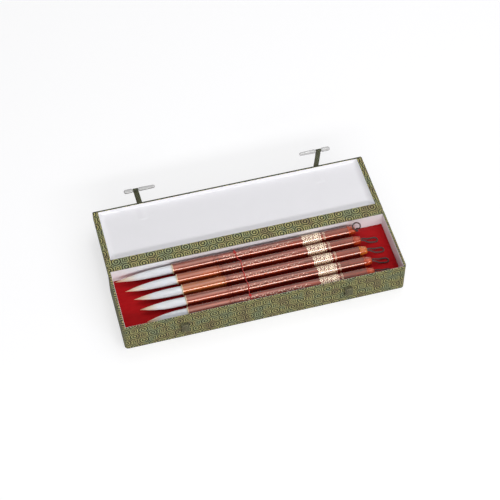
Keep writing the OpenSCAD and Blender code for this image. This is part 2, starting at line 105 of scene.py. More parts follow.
def dimmed(colour: Colour, share: float) -> tuple[float, float, float, float]:
    """A darker shade of a display colour, as the linear colour that shaders use.

    Args:
        colour: red, green and blue from 0 to 255.
        share: share of each that is kept.

    Returns:
        The linear colour with full alpha.
    """
    return srgb(*(value * share for value in colour))


class Shader:
    """A material under construction: its principled shader and the nodes that feed it."""

    def __init__(self, name: str) -> None:
        """Start an empty material.

        Args:
            name: the material's name.
        """
        self.material = bpy.data.materials.new(name)
        self.material.use_nodes = True
        self.tree = self.material.node_tree
        self.bsdf = self.tree.nodes["Principled BSDF"]

    def node(self, kind: str, **settings: object) -> bpy.types.Node:
        """Add a node and set its properties.

        Args:
            kind: the node's type name.
            **settings: properties to set on it.

        Returns:
            The new node.
        """
        made = self.tree.nodes.new(kind)
        for key, value in settings.items():
            setattr(made, key, value)
        return made

    def feed(self, socket: Socket, value: object) -> None:
        """Connect an output to an input socket, or set the socket to a plain value."""
        if isinstance(value, Socket):
            self.tree.links.new(value, socket)
        else:
            socket.default_value = value

    def values(self, **sockets: object) -> None:
        """Set plain values on the principled shader; an underscore in a name stands for a space."""
        for key, value in sockets.items():
            self.bsdf.inputs[key.replace("_", " ")].default_value = value

    def math(self, operation: str, first: object, second: object = 0.0, third: object = 0.0) -> Socket:
        """Add one arithmetic step.

        Args:
            operation: the Math node's operation.
            first: first value or socket.
            second: second value or socket.
            third: third value or socket.

        Returns:
            The result's socket.
        """
        made = self.node("ShaderNodeMath", operation=operation)
        for socket, value in zip(made.inputs, (first, second, third)):
            self.feed(socket, value)
        return made.outputs[0]

    def place(self, source: str, scale: Colour = (1.0, 1.0, 1.0), turn: float = 0.0) -> Socket:
        """Read the piece's own coordinates, stretched and turned.

        Args:
            source: "Object" for metres in the frame, or "UV" for the piece's own map in millimetres.
            scale: factor on each axis.
            turn: turn about the third axis in degrees.

        Returns:
            The vector's socket.
        """
        coordinates = self.node("ShaderNodeTexCoord")
        mapping = self.node("ShaderNodeMapping")
        mapping.inputs["Scale"].default_value = scale
        mapping.inputs["Rotation"].default_value = (0.0, 0.0, math.radians(turn))
        self.feed(mapping.inputs["Vector"], coordinates.outputs[source])
        return mapping.outputs[0]

    def noise(self, vector: Socket, scale: float, detail: float = 2.0, rough: float = 0.5) -> Socket:
        """Add soft noise over a vector.

        Args:
            vector: where to read it.
            scale: features per unit of the vector.
            detail: number of finer layers.
            rough: strength of the finer layers.

        Returns:
            The noise's socket, from 0 to 1.
        """
        made = self.node("ShaderNodeTexNoise")
        self.feed(made.inputs["Vector"], vector)
        made.inputs["Scale"].default_value = scale
        made.inputs["Detail"].default_value = detail
        made.inputs["Roughness"].default_value = rough
        return made.outputs["Fac"]

    def ramp(self, value: Socket, stops: list[tuple[float, tuple]]) -> Socket:
        """Colour a value by stops.

        Args:
            value: the socket that drives the ramp.
            stops: positions with their linear colours, in rising order.

        Returns:
            The colour's socket.
        """
        made = self.node("ShaderNodeValToRGB")
        elements = made.color_ramp.elements
        while len(elements) < len(stops):
            elements.new(0.5)
        for element, (position, colour) in zip(elements, stops):
            element.position = position
            element.color = colour
        self.feed(made.inputs[0], value)
        return made.outputs[0]

    def mix(self, share: object, first: object, second: object) -> Socket:
        """Mix two colours by a share and return the colour's socket."""
        made = self.node("ShaderNodeMix", data_type="RGBA")
        self.feed(made.inputs[0], share)
        self.feed(made.inputs[6], first)
        self.feed(made.inputs[7], second)
        return made.outputs[2]

    def step(self, value: object, low: float, high: float) -> Socket:
        """Rise smoothly from 0 to 1 between two values and return the socket."""
        made = self.node("ShaderNodeMapRange", interpolation_type="SMOOTHSTEP")
        self.feed(made.inputs["Value"], value)
        made.inputs["From Min"].default_value = low
        made.inputs["From Max"].default_value = high
        return made.outputs["Result"]

    def colour(self, value: object) -> None:
        """Feed the shader's base colour."""
        self.feed(self.bsdf.inputs["Base Color"], value)

    def bump(self, height: Socket, strength: float, depth_mm: float) -> None:
        """Raise the surface by a height map.

        Args:
            height: the socket with heights from 0 to 1.
            strength: strength of the effect.
            depth_mm: what a height of 1 means.
        """
        made = self.node("ShaderNodeBump")
        made.inputs["Strength"].default_value = strength
        made.inputs["Distance"].default_value = depth_mm * MM
        self.feed(made.inputs["Height"], height)
        self.feed(self.bsdf.inputs["Normal"], made.outputs[0])


@dataclass(frozen=True)
class Finish:
    """A named finish, built once and shared."""

    name: str

    def build(self, shader: Shader) -> None:
        """Fill the shader; each finish has its own."""
        raise NotImplementedError

    def material(self) -> bpy.types.Material:
        """Return the finish's material, building it at its first use."""
        found = bpy.data.materials.get(self.name)
        if found is not None:
            return found
        shader = Shader(self.name)
        self.build(shader)
        return shader.material


@dataclass(frozen=True)
class Brocade(Finish):
    """Olive silk brocade: ringed roundels among nested squares, in yellow-green thread on a dark ground.

    The pattern reads the piece's own map in millimetres. A wave of the straight distance to the nearest point
    of a lattice draws the rings, and a wave of the distance counted along both threads draws the squares.
    """

    ground: Colour = (28, 31, 16)
    line: Colour = (192, 186, 118)
    accent: Colour = (160, 142, 98)
    cool: Colour = (156, 166, 124)
    cell_mm: float = 14.0
    lines: float = 5.0
    roundel: float = 0.44

    def build(self, shader: Shader) -> None:
        """Weave the frets, tint them in drifts, and raise the lines and the fine weave."""
        flat = shader.place("UV")
        turned = shader.place("UV", (1 / self.cell_mm, 1 / self.cell_mm, 1.0), 45.0)
        reach = []
        for kind in ("EUCLIDEAN", "MANHATTAN"):
            lattice = shader.node("ShaderNodeTexVoronoi", distance=kind, voronoi_dimensions="2D")
            lattice.inputs["Scale"].default_value = 1.0
            lattice.inputs["Randomness"].default_value = 0.0
            shader.feed(lattice.inputs["Vector"], turned)
            reach.append(lattice.outputs["Distance"])
        waves = [shader.math("SINE", shader.math("MULTIPLY", way, 2 * math.pi * self.lines)) for way in reach]
        outside = shader.math("GREATER_THAN", reach[0], self.roundel)
        change = shader.math("SUBTRACT", waves[1], waves[0])
        wave = shader.math("MULTIPLY_ADD", outside, change, waves[0])
        thread = shader.step(wave, -0.3, 0.3)
        drift = shader.noise(flat, 0.06, 2.0, 0.6)
        tint = shader.ramp(
            drift,
            [(0.38, srgb(*self.accent)), (0.5, srgb(*self.line)), (0.62, srgb(*self.cool))],
        )
        speck = shader.noise(flat, 0.9, 2.0, 0.7)
        lit = shader.mix(shader.step(speck, 0.3, 0.6), dimmed(self.line, 0.55), tint)
        shader.colour(shader.mix(thread, srgb(*self.ground), lit))
        weave = shader.noise(shader.place("UV", (3.4, 9.0, 1.0)), 1.0, 1.0)
        shader.bump(shader.math("MULTIPLY_ADD", weave, 0.35, thread), 0.4, 0.14)
        shader.values(Roughness=0.66, Sheen_Weight=0.08, Sheen_Roughness=0.5, Specular_IOR_Level=0.3)


@dataclass(frozen=True)
class LiningPaper(Finish):
    """Smooth white paper with the faintest tooth."""

    shade: Colour = (240, 239, 243)

    def build(self, shader: Shader) -> None:
        """Vary the white slightly and give it a fine tooth."""
        flat = shader.place("Object", (1000.0, 1000.0, 1000.0))
        cloud = shader.noise(flat, 0.03, 3.0, 0.6)
        shader.colour(shader.mix(cloud, dimmed(self.shade, 0.98), srgb(*self.shade)))
        shader.bump(shader.noise(flat, 1.8, 3.0, 0.7), 0.25, 0.03)
        shader.values(Roughness=0.5, Specular_IOR_Level=0.4)


@dataclass(frozen=True)
class Satin(Finish):
    """Red satin that shines along its threads, with soft puckers."""

    shade: Colour = (176, 20, 26)

    def build(self, shader: Shader) -> None:
        """Mix two reds in streaks along the box and pucker the cloth."""
        streaks = shader.noise(shader.place("Object", (120.0, 900.0, 900.0)), 1.0, 3.0, 0.6)
        shader.colour(shader.mix(streaks, dimmed(self.shade, 0.84), srgb(*self.shade)))
        puckers = shader.noise(shader.place("Object", (60.0, 130.0, 130.0)), 1.0, 2.0, 0.55)
        weave = shader.noise(shader.place("Object", (1500.0, 5000.0, 5000.0)), 1.0, 1.0)
        shader.bump(shader.math("MULTIPLY_ADD", weave, 0.04, puckers), 0.5, 1.3)
        shader.values(Roughness=0.5, Specular_IOR_Level=0.25, Specular_Tint=srgb(255, 90, 80))
        shader.values(Sheen_Weight=0.12, Sheen_Roughness=0.4, Sheen_Tint=srgb(255, 60, 50))


@dataclass(frozen=True)
class Bone(Finish):
    """Polished pale bone with a faint grain."""

    def build(self, shader: Shader) -> None:
        """Streak the bone along the pin."""
        grain = shader.noise(shader.place("Object", (90.0, 900.0, 900.0)), 1.0, 3.0, 0.6)
        shader.colour(shader.mix(grain, srgb(176, 175, 173), srgb(198, 198, 199)))
        shader.bump(grain, 0.15, 0.08)
        shader.values(Roughness=0.28, Coat_Weight=0.35, Coat_Roughness=0.15)


@dataclass(frozen=True)
class GoatHair(Finish):
    """Pale soft hair, white in the body and cream at the point; the map runs from 0 at the root to 1."""

    def build(self, shader: Shader) -> None:
        """Colour the hair along its length, with strand-to-strand variation."""
        coordinates = shader.node("ShaderNodeTexCoord")
        split = shader.node("ShaderNodeSeparateXYZ")
        shader.feed(split.inputs[0], coordinates.outputs["UV"])
        length = shader.ramp(
            split.outputs[1],
            [(0.0, srgb(236, 226, 196)), (0.04, srgb(242, 244, 248)), (0.62, srgb(244, 245, 247)),
             (0.84, srgb(240, 224, 200)), (1.0, srgb(226, 186, 146))],
        )
        strand = shader.noise(shader.place("UV", (60.0, 2.0, 1.0)), 1.0, 2.0)
        shade = shader.math("MULTIPLY", shader.step(strand, 0.35, 0.8), 0.35)
        shader.colour(shader.mix(shade, length, srgb(206, 206, 210)))
        shader.values(Roughness=0.5, Sheen_Weight=0.3, Sheen_Roughness=0.4, Specular_IOR_Level=0.4)


@dataclass(frozen=True)
class Lacquer(Finish):
    """Glossy clear lacquer over stained bamboo, streaked along the brush."""

    deep: Colour = (44, 9, 6)
    light: Colour = (132, 38, 20)
    gloss: float = 0.04

    def build(self, shader: Shader) -> None:
        """Streak two stains along the handle under a hard clear coat."""
        grain = shader.noise(shader.place("Object", (28.0, 420.0, 420.0)), 1.0, 4.0, 0.62)
        fine = shader.noise(shader.place("Object", (70.0, 2200.0, 2200.0)), 1.0, 2.0, 0.6)
        share = shader.math("MULTIPLY_ADD", fine, 0.3, shader.math("MULTIPLY", grain, 0.85))
        shader.colour(shader.mix(shader.step(share, 0.36, 0.78), srgb(*self.deep), srgb(*self.light)))
        shader.values(Roughness=0.2, Specular_IOR_Level=0.7, Specular_Tint=srgb(255, 140, 80))
        shader.values(Coat_Weight=1.0, Coat_Roughness=self.gloss, Coat_IOR=1.5)


@dataclass(frozen=True)
class Gilt(Finish):
    """Printed gilt band: cream-gold curls between red-brown lines; the map runs in millimetres."""

    def build(self, shader: Shader) -> None:
        """Draw nested curls on pale gold."""
        flat = shader.place("UV", (0.24, 0.24, 1.0))
        cells = shader.node("ShaderNodeTexVoronoi", voronoi_dimensions="2D")
        cells.inputs["Scale"].default_value = 1.0
        cells.inputs["Randomness"].default_value = 0.55
        shader.feed(cells.inputs["Vector"], flat)
        curl = shader.math("SINE", shader.math("MULTIPLY", cells.outputs["Distance"], 15.0))
        line = shader.step(curl, -0.1, 0.4)
        shader.colour(shader.mix(line, srgb(255, 238, 204), srgb(128, 40, 18)))
        shader.bump(line, -0.3, 0.08)
        shader.values(Roughness=0.3, Coat_Weight=0.8, Coat_Roughness=0.1)


@dataclass(frozen=True)
class Twist(Finish):
    """Twisted cord or thread: a slanting rib along its own map, in millimetres."""

    dark: Colour = (24, 8, 7)
    light: Colour = (62, 20, 15)
    pitch_mm: float = 0.9
    sheen: float = 0.2

    def build(self, shader: Shader) -> None:
        """Lay the rib of the twist and colour it darker where the rib is low: painted shade in the grooves.
        """
        wave = shader.node("ShaderNodeTexWave", bands_direction="DIAGONAL")
        wave.inputs["Scale"].default_value = 0.55 / self.pitch_mm
        wave.inputs["Distortion"].default_value = 0.6
        shader.feed(wave.inputs["Vector"], shader.place("UV"))
        # Painted shade: the same wave that raises the rib gives the dark colour where it sinks, in the
        # grooves.
        shader.colour(shader.mix(wave.outputs["Fac"], srgb(*self.dark), srgb(*self.light)))
        shader.bump(wave.outputs["Fac"], 0.6, 0.15)
        shader.values(Roughness=0.65, Sheen_Weight=self.sheen, Sheen_Roughness=0.4)


@dataclass(frozen=True)
class Board(Finish):
    """Plain grey-brown board or backing paper with fibres."""

    shade: Colour = (150, 134, 108)

    def build(self, shader: Shader) -> None:
        """Scatter fibres over the board's colour."""
        flat = shader.place("Object", (1000.0, 1000.0, 1000.0))
        fibres = shader.noise(flat, 0.5, 5.0, 0.7)
        shader.colour(shader.mix(fibres, dimmed(self.shade, 0.8), srgb(*self.shade)))
        shader.bump(fibres, 0.3, 0.08)
        shader.values(Roughness=0.85)


BROCADE = Brocade("olive_brocade")
STRAP_CLOTH = Brocade(
    "strap_brocade", ground=(24, 26, 14), line=(92, 96, 58),
    accent=(74, 70, 46), cool=(80, 88, 60), cell_mm=9.0,
)
# Painted shade: a darker brocade for the top of the lid's far lip, in place of the shade along that edge.
LIP_SHADE_CLOTH = Brocade(
    "edge_brocade", ground=(22, 24, 14), line=(64, 66, 42),
    accent=(54, 52, 36), cool=(58, 62, 44),
)
LOOP_CLOTH = Brocade(
    "loop_brocade", ground=(40, 43, 28), line=(146, 144, 104),
    accent=(122, 112, 80), cool=(122, 132, 102), cell_mm=9.0,
)
PAPER = LiningPaper("white_lining_paper")
SATIN = Satin("red_satin")
BONE = Bone("polished_bone")
HAIR = GoatHair("pale_brush_hair")
LACQUER_DEEP = Lacquer("deep_lacquer")
LACQUER_TAN = Lacquer("tan_lacquer", deep=(112, 50, 20), light=(178, 98, 44), gloss=0.08)
LACQUER_ORANGE = Lacquer("orange_lacquer", deep=(100, 36, 14), light=(164, 76, 34), gloss=0.08)
LACQUER_RED = Lacquer("red_lacquer", deep=(74, 18, 10), light=(140, 52, 30), gloss=0.08)
AMBER = Lacquer("amber_lacquer", deep=(138, 34, 12), light=(196, 74, 26), gloss=0.08)
PALE_WOOD = Lacquer("pale_wood", deep=(214, 190, 146), light=(240, 224, 190), gloss=0.2)
HONEY = Lacquer("honey_lacquer", deep=(176, 78, 22), light=(228, 142, 56), gloss=0.08)
GILT = Gilt("gilt_print")
SILVER = Lacquer("silver_inlay", deep=(184, 140, 124), light=(236, 206, 190), gloss=0.2)
CORD = Twist("dark_cord")
THREAD = Twist("red_thread", dark=(168, 8, 12), light=(226, 26, 24), pitch_mm=0.5, sheen=0.3)
BOARD = Board("grey_board")
FOOT_PAPER = Board("dark_backing_paper", shade=(64, 62, 54))


# Surfaces


def coords(*parts: float | Array) -> Array:
    """Coordinates side by side: the parts are broadcast to one shape and stacked along a last axis."""
    return np.stack(np.broadcast_arrays(*parts), axis=-1)


@dataclass
class Surface:
    """Grids of points gathered into one mesh, with a map value at every corner."""

    points: list[Array] = field(default_factory=list)
    faces: list[Array] = field(default_factory=list)
    maps: list[Array] = field(default_factory=list)
    count: int = 0

    def grid(self, points: Array, flat: Array, flip: bool = False) -> "Surface":
        """Add a grid of quads.

        Args:
            points: rows by columns by three, in millimetres.
            flat: rows by columns by two, the map value at each point.
            flip: turn the faces over.

        Returns:
            The surface itself.
        """
        rows, columns = points.shape[:2]
        index = np.arange(rows * columns).reshape(rows, columns) + self.count
        quads = coords(index[:-1, :-1], index[:-1, 1:], index[1:, 1:], index[1:, :-1]).reshape(-1, 4)
        self.faces.append(quads[:, ::-1] if flip else quads)
        self.points.append(points.reshape(-1, 3))
        self.maps.append(flat.reshape(-1, 2))
        self.count += rows * columns
        return self

    def build(self, name: str, finish: Finish, sharp: float = 40.0, merge: bool = True) -> Piece:
        """Make the object, close its seams and smooth it.

        Args:
            name: the object's name.
            finish: its finish.
            sharp: edges that turn more than this many degrees stay crisp.
            merge: close seams and poles, and point the faces outward.

        Returns:
            The new object, at the origin, in metres.
        """
        vertices = np.concatenate(self.points) * MM
        faces = np.concatenate(self.faces)
        flat = np.concatenate(self.maps)
        mesh = bpy.data.meshes.new(name)
        mesh.from_pydata(vertices, [], faces)
        layer = mesh.uv_layers.new(name="map")
        corners = np.empty(len(mesh.loops), dtype=np.int32)
        mesh.loops.foreach_get("vertex_index", corners)
        layer.data.foreach_set("uv", flat[corners].astype(np.float32).ravel())
        if merge:
            work = bmesh.new()
            work.from_mesh(mesh)
            bmesh.ops.remove_doubles(work, verts=work.verts, dist=2e-6)
            bmesh.ops.dissolve_degenerate(work, dist=1e-7, edges=work.edges)
            bmesh.ops.recalc_face_normals(work, faces=work.faces)
            work.to_mesh(mesh)
            work.free()
        mesh.shade_smooth()
        mesh.set_sharp_from_angle(angle=math.radians(sharp))
        mesh.materials.append(finish.material())
        made = bpy.data.objects.new(name, mesh)
        bpy.context.scene.collection.objects.link(made)
        return made


def arc(centre: tuple[float, float], radius: float, start: float, end: float, count: int) -> Array:
    """Points on a circle's arc.

    Args:
        centre: the circle's centre.
        radius: its radius.
        start: first angle in degrees.
        end: last angle in degrees.
        count: number of points.

    Returns:
        count by two points.
    """
    turn = np.radians(np.linspace(start, end, count))
    return coords(centre[0] + radius * np.cos(turn), centre[1] + radius * np.sin(turn))


def outline(x_half: float, y0: float, y1: float, front: float, rear: float) -> Array:
    """Closed plan outline with one corner radius at y0 and one at y1, starting in the middle of the y0 side.

    Args:
        x_half: half the length along x.
        y0: the low side.
        y1: the high side.
        front: corner radius at y0.
        rear: corner radius at y1.

    Returns:
        Points counter-clockwise, the last equal to the first.
    """
    long_side = np.linspace(0, 1, 33)[:, None]
    short_side = np.linspace(0, 1, 11)[:, None]

    def straight(a: tuple[float, float], b: tuple[float, float], steps: Array) -> Array:
        """Evenly spaced points from a to b."""
        return np.array(a) + (np.array(b) - np.array(a)) * steps

    return np.concatenate([
        straight((0, y0), (x_half - front, y0), long_side),
        arc((x_half - front, y0 + front), front, -90, 0, 9)[1:],
        straight((x_half, y0 + front), (x_half, y1 - rear), short_side)[1:],
        arc((x_half - rear, y1 - rear), rear, 0, 90, 9)[1:],
        straight((x_half - rear, y1), (rear - x_half, y1), np.linspace(0, 1, 65)[:, None])[1:],
        arc((rear - x_half, y1 - rear), rear, 90, 180, 9)[1:],
        straight((-x_half, y1 - rear), (-x_half, y0 + front), short_side)[1:],
        arc((front - x_half, y0 + front), front, 180, 270, 9)[1:],
        straight((front - x_half, y0), (0, y0), long_side)[1:],
    ])


def run_length(points: Array) -> Array:
    """Distance along a row of points, starting at 0."""
    steps = np.linalg.norm(np.diff(points, axis=0), axis=-1)
    return np.concatenate([[0.0], np.cumsum(steps)])


def frames_along(path: Array) -> tuple[Array, Array]:
    """Two directions square to a path at each of its points.

    The first is a fixed direction, near the world's up and leaning a little to +y, made square to the path.
    The second is square to both.

    Args:
        path: points of the path.

    Returns:
        Both directions, one row each per point.
    """
    along = np.gradient(path, axis=0)
    along /= np.linalg.norm(along, axis=1, keepdims=True)
    up = np.tile(np.array([0.0, 0.31, 0.95]), (len(path), 1))
    first = up - (up * along).sum(1, keepdims=True) * along
    first /= np.linalg.norm(first, axis=1, keepdims=True)
    return first, np.cross(along, first)


def tube(surface: Surface, path: Array, radius: float, sides: int = 12) -> Surface:
    """Add a round tube with closed ends: each path point carries a circle; its map is millimetres both ways.

    Args:
        surface: the surface to add to.
        path: points of the centre line, in millimetres.
        radius: its radius.
        sides: number of sides.

    Returns:
        The surface.
    """
    first, second = frames_along(path)
    turn = np.linspace(0, 2 * math.pi, sides + 1)
    ring = np.cos(turn)[None, :, None] * first[:, None] + np.sin(turn)[None, :, None] * second[:, None]
    points = path[:, None] + ring * radius
    ends = np.repeat(path[[0, -1]][:, None], sides + 1, axis=1)
    flat = coords(turn[None] * radius, run_length(path)[:, None])
    return surface.grid(
        np.concatenate([ends[:1], points, ends[1:]]),
        np.concatenate([flat[:1], flat, flat[-1:]]),
    )


def smooth_path(route: Array, count: int) -> Array:
    """One smooth curve through chosen points: cubics whose slopes come from the points around.

    Args:
        route: the chosen points.
        count: number of points wanted.

    Returns:
        Evenly spaced points on the curve.
    """
    padded = np.concatenate([2 * route[:1] - route[1:2], route, 2 * route[-1:] - route[-2:-1]])
    place = np.linspace(0, len(route) - 1 - 1e-9, 40 * len(route))
    low = place.astype(int)
    t = (place - low)[:, None]
    a, b, c, d = padded[low], padded[low + 1], padded[low + 2], padded[low + 3]
    curve = 0.5 * (2 * b + (c - a) * t + (2 * a - 5 * b + 4 * c - d) * t**2 + (3 * b - a - 3 * c + d) * t**3)
    length = run_length(curve)
    even = np.linspace(0, length[-1], count)
    return coords(*(np.interp(even, length, curve[:, k]) for k in range(3)))


def turned(surface: Surface, profile: Array, origin: Array, sides: int = 64) -> Surface:
    """Add a turned form about the x direction: the profile's radius swept round; its map is millimetres.

    Args:
        surface: the surface to add to.
        profile: points of distance along x and radius.
        origin: where the profile's zero lies.
        sides: number of sides.

    Returns:
        The surface.
    """
    turn = np.linspace(0, 2 * math.pi, sides + 1)
    points = coords(profile[:, :1], profile[:, 1:] * np.cos(turn), profile[:, 1:] * np.sin(turn)) + origin
    length = run_length(profile)
    flat = coords(length[:, None], turn[None] * profile[:, 1].max())
    return surface.grid(points, flat)


def ribbon(centre: Array, width: float, thick: float) -> Surface:
    """A flat cloth band: a rounded flat section, wide along x, carried along a centre line.

    Args:
        centre: points of the centre line, in millimetres.
        width: the band's width.
        thick: its thickness.

    Returns:
        The band's surface.
    """
    across = np.array([1.0, 0.0, 0.0])
    along = np.gradient(centre, axis=0)
    along /= np.linalg.norm(along, axis=1, keepdims=True)
    normal = np.cross(along, across)
    normal /= np.linalg.norm(normal, axis=1, keepdims=True)
    half = thick / 2
    side = arc((0.5, 0.0), half, -90, 90, 5)
    section = np.concatenate([side, -side, side[:1]])
    spread = np.sign(section[:, 0]) * 0.5
    extra = section[:, 0] - spread
    points = (
        centre[:, None]
        + across[None, None] * (spread * (width - thick) + extra)[None, :, None]
        + normal[:, None] * section[None, :, 1:]
    )
    length = run_length(centre)
    flat = coords(spread[None] * width, length[:, None])
    ends = np.repeat(centre[[0, -1]][:, None], points.shape[1], axis=1)
    return Surface().grid(
        np.concatenate([ends[:1], points, ends[1:]]),
        np.concatenate([flat[:1], flat, flat[-1:]]),
    )


def settle(made: Piece, slot: str, body: str = "", *nodes: str) -> Piece:
    """Say what a piece stands for and what carries it: hide its nodes and attach it to its body.

    Args:
        made: the piece.
        slot: the record's material; not used.
        body: the body that it rides on, or nothing, which leaves the piece unattached.
        *nodes: the nodes that it stands for.

    Returns:
        The piece.
    """
    if nodes:
        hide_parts(*nodes)
    if body:
        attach(made, body)
    return made


def paint(frame: dict, names: list[str], finish: Finish) -> None:
    """Give CAD nodes a finish in place of the frame's plain colour.

    Args:
        frame: the loaded frame.
        names: the nodes' names.
        finish: the finish.
    """
    for name in names:
        materials = frame["nodes"][name].data.materials
        materials.clear()
        materials.append(finish.material())
    LOG.info("%s on %s", finish.name, ", ".join(names))


# Tray and lid


@dataclass
class Shell:
    """A covered rim and wall: a plan outline, an inner rectangle, and the heights that the cloth covers."""

    x_half: float
    y0: float
    y1: float
    front: float
    rear: float
    inner_x: float
    inner_y0: float
    inner_y1: float
    bottom: float
    top: float
    edge: float = 0.55

    def cover(self, name: str) -> Piece:
        """Build the cloth: it climbs the wall, turns over a soft edge, crosses the rim and dips inside.

        Each profile point has a height and a distance inward from the outline, made of a fixed part and a
        share of the local wall thickness.

        Args:
            name: the object's name.

        Returns:
            The cover.
        """
        outer = outline(self.x_half, self.y0, self.y1, self.front, self.rear)
        inner = np.clip(outer, (-self.inner_x, self.inner_y0), (self.inner_x, self.inner_y1))
        inward = inner - outer
        wall = np.linalg.norm(inward, axis=1)
        inward /= wall[:, None]
        bend = arc((0.0, 0.0), 1.0, 0, 90, 6)
        climb = np.linspace(self.bottom, self.top - self.edge, 6)
        e = self.edge
        fixed = np.concatenate([np.zeros(6), e - e * bend[1:, 0], [0.0], -e + e * bend[::-1, 0][1:], [0.0]])
        share = np.concatenate([np.zeros(6), np.zeros(5), [0.5], np.ones(5), [1.0]])
        height = np.concatenate([
            climb, self.top - e + e * bend[1:, 1], [self.top + 0.02], self.top - e + e * bend[::-1, 1][1:],
            [self.top - 1.4],
        ])
        away = fixed[:, None] + share[:, None] * wall[None]
        ground = outer[None] + inward[None] * away[..., None]
        points = np.concatenate([ground, np.broadcast_to(height[:, None, None], (*away.shape, 1))], axis=-1)
        along = run_length(outer)
        steps = np.linalg.norm(np.diff(points, axis=0), axis=-1)
        rise = np.concatenate([np.zeros((1, len(outer))), np.cumsum(steps, axis=0)])
        flat = coords(along[None], rise)
        return Surface().grid(points, flat).build(name, BROCADE, sharp=50)


def pillow(
    half: tuple[float, float], edge: float, crown: float, draw: float, size: tuple[int, int],
) -> tuple[Array, Array]:
    """A pad's crowned top and its rolled sides as one grid.

    The height is the edge height plus the crown times one minus a high power of each plan coordinate. The
    plan draws in along each side by one minus the square of the distance from its middle. The outermost rows
    roll down.

    Args:
        half: half lengths along x and y.
        edge: thickness at the edge.
        crown: rise of the middle.
        draw: how far the sides draw in.
        size: number of columns and rows.

    Returns:
        The points, standing on height 0, and their map.
    """
    u = np.sin(np.linspace(-1, 1, size[0]) * math.pi / 2)
    v = np.sin(np.linspace(-1, 1, size[1]) * math.pi / 2)
    roll = np.array([0.0, 0.55, 0.88])
    u = np.concatenate([[-1, -1, -1], u, [1, 1, 1]])
    v = np.concatenate([[-1, -1, -1], v, [1, 1, 1]])
    drop_u = np.concatenate([roll, np.ones(size[0]), roll[::-1]])
    drop_v = np.concatenate([roll, np.ones(size[1]), roll[::-1]])
    uu, vv = np.meshgrid(u, v)
    drop = np.minimum(*np.meshgrid(drop_u, drop_v))
    pull_u = np.where(np.abs(uu) >= 1, np.sign(uu) * draw * (1 - vv**2), 0)
    pull_v = np.where(np.abs(vv) >= 1, np.sign(vv) * draw * (1 - uu**2), 0)
    soft = 0.25 * np.where(drop >= 1, 0, 1 - np.abs(drop - 0.5))
    x = half[0] * uu - pull_u - np.sign(uu) * (soft * 0.2)
    y = half[1] * vv - pull_v - np.sign(vv) * (soft * 0.2)
    z = (edge + crown * (1 - np.abs(uu) ** 16) * (1 - np.abs(vv) ** 8)) * drop
    return coords(x, y, z), coords(x, y + (1 - drop) * 4)


@dataclass
class Tray:
    """The tray: cloth cover, paper lining, padded satin floor, and the boards inside."""

    x_half: float = 160.0
    y_half: float = 41.6
    rim: float = 38.5
    inner_x: float = 157.3
    inner_y0: float = -40.0
    inner_y1: float = 36.9
    front_corner: float = 4.0
    rear_corner: float = 1.5
    foot: float = 0.5
    floor: float = 18.5
    pad_edge: float = 2.5
    pad_crown: float = 3.0
    pad_draw: float = 0.7
    pad_gap: float = 0.6
    pucker: float = 0.35
    pucker_side: float = 7.0
    pucker_end: float = 9.0
    body: str = "tray"

    def dress(self, frame: dict) -> None:
        """Build and place the tray's pieces.

        Args:
            frame: the loaded frame.
        """
        walls = ["front_wall", "rear_wall", "left_wall", "right_wall"]
        paint(frame, ["bottom_board", *walls, "floor_risers", "floor_board"], BOARD)
        paint(frame, ["foot_sheet"], FOOT_PAPER)
        paint(frame, ["tray_lining"], PAPER)
        shell = Shell(
            self.x_half, -self.y_half, self.y_half, self.front_corner, self.rear_corner,
            self.inner_x, self.inner_y0, self.inner_y1, self.foot, self.rim,
        )
        settle(shell.cover("tray_brocade"), "brocade", self.body, "tray_cover")
        self.cushion()

    def cushion(self) -> None:
        """Build the satin floor: a crowned pad whose long sides pucker where the cloth turns under."""
        half = (self.inner_x - self.pad_gap, (self.inner_y1 - self.inner_y0) / 2 - self.pad_gap)
        points, flat = pillow(half, self.pad_edge, self.pad_crown, self.pad_draw, (150, 44))
        x, y = points[..., 0], points[..., 1]
        sides = np.clip(1 - (half[1] - np.abs(y)) / self.pucker_side, 0, 1)
        ends = np.clip(1 - (half[0] - np.abs(x)) / self.pucker_end, 0, 1)
        deep = (points[..., 2] > 1.0) * self.pucker
        points[..., 2] -= deep * sides * (0.5 + 0.5 * np.sin(x * 0.83 + 1.3 * np.sin(x * 0.21)))
        points[..., 2] -= deep * ends * (0.5 + 0.5 * np.sin(y * 0.95 + 0.8 * np.sin(y * 0.37)))
        points += np.array([0.0, (self.inner_y0 + self.inner_y1) / 2, self.floor])
        made = Surface().grid(points, flat).build("satin_cushion", SATIN, sharp=60)
        settle(made, "satin", self.body, "floor_cushion")


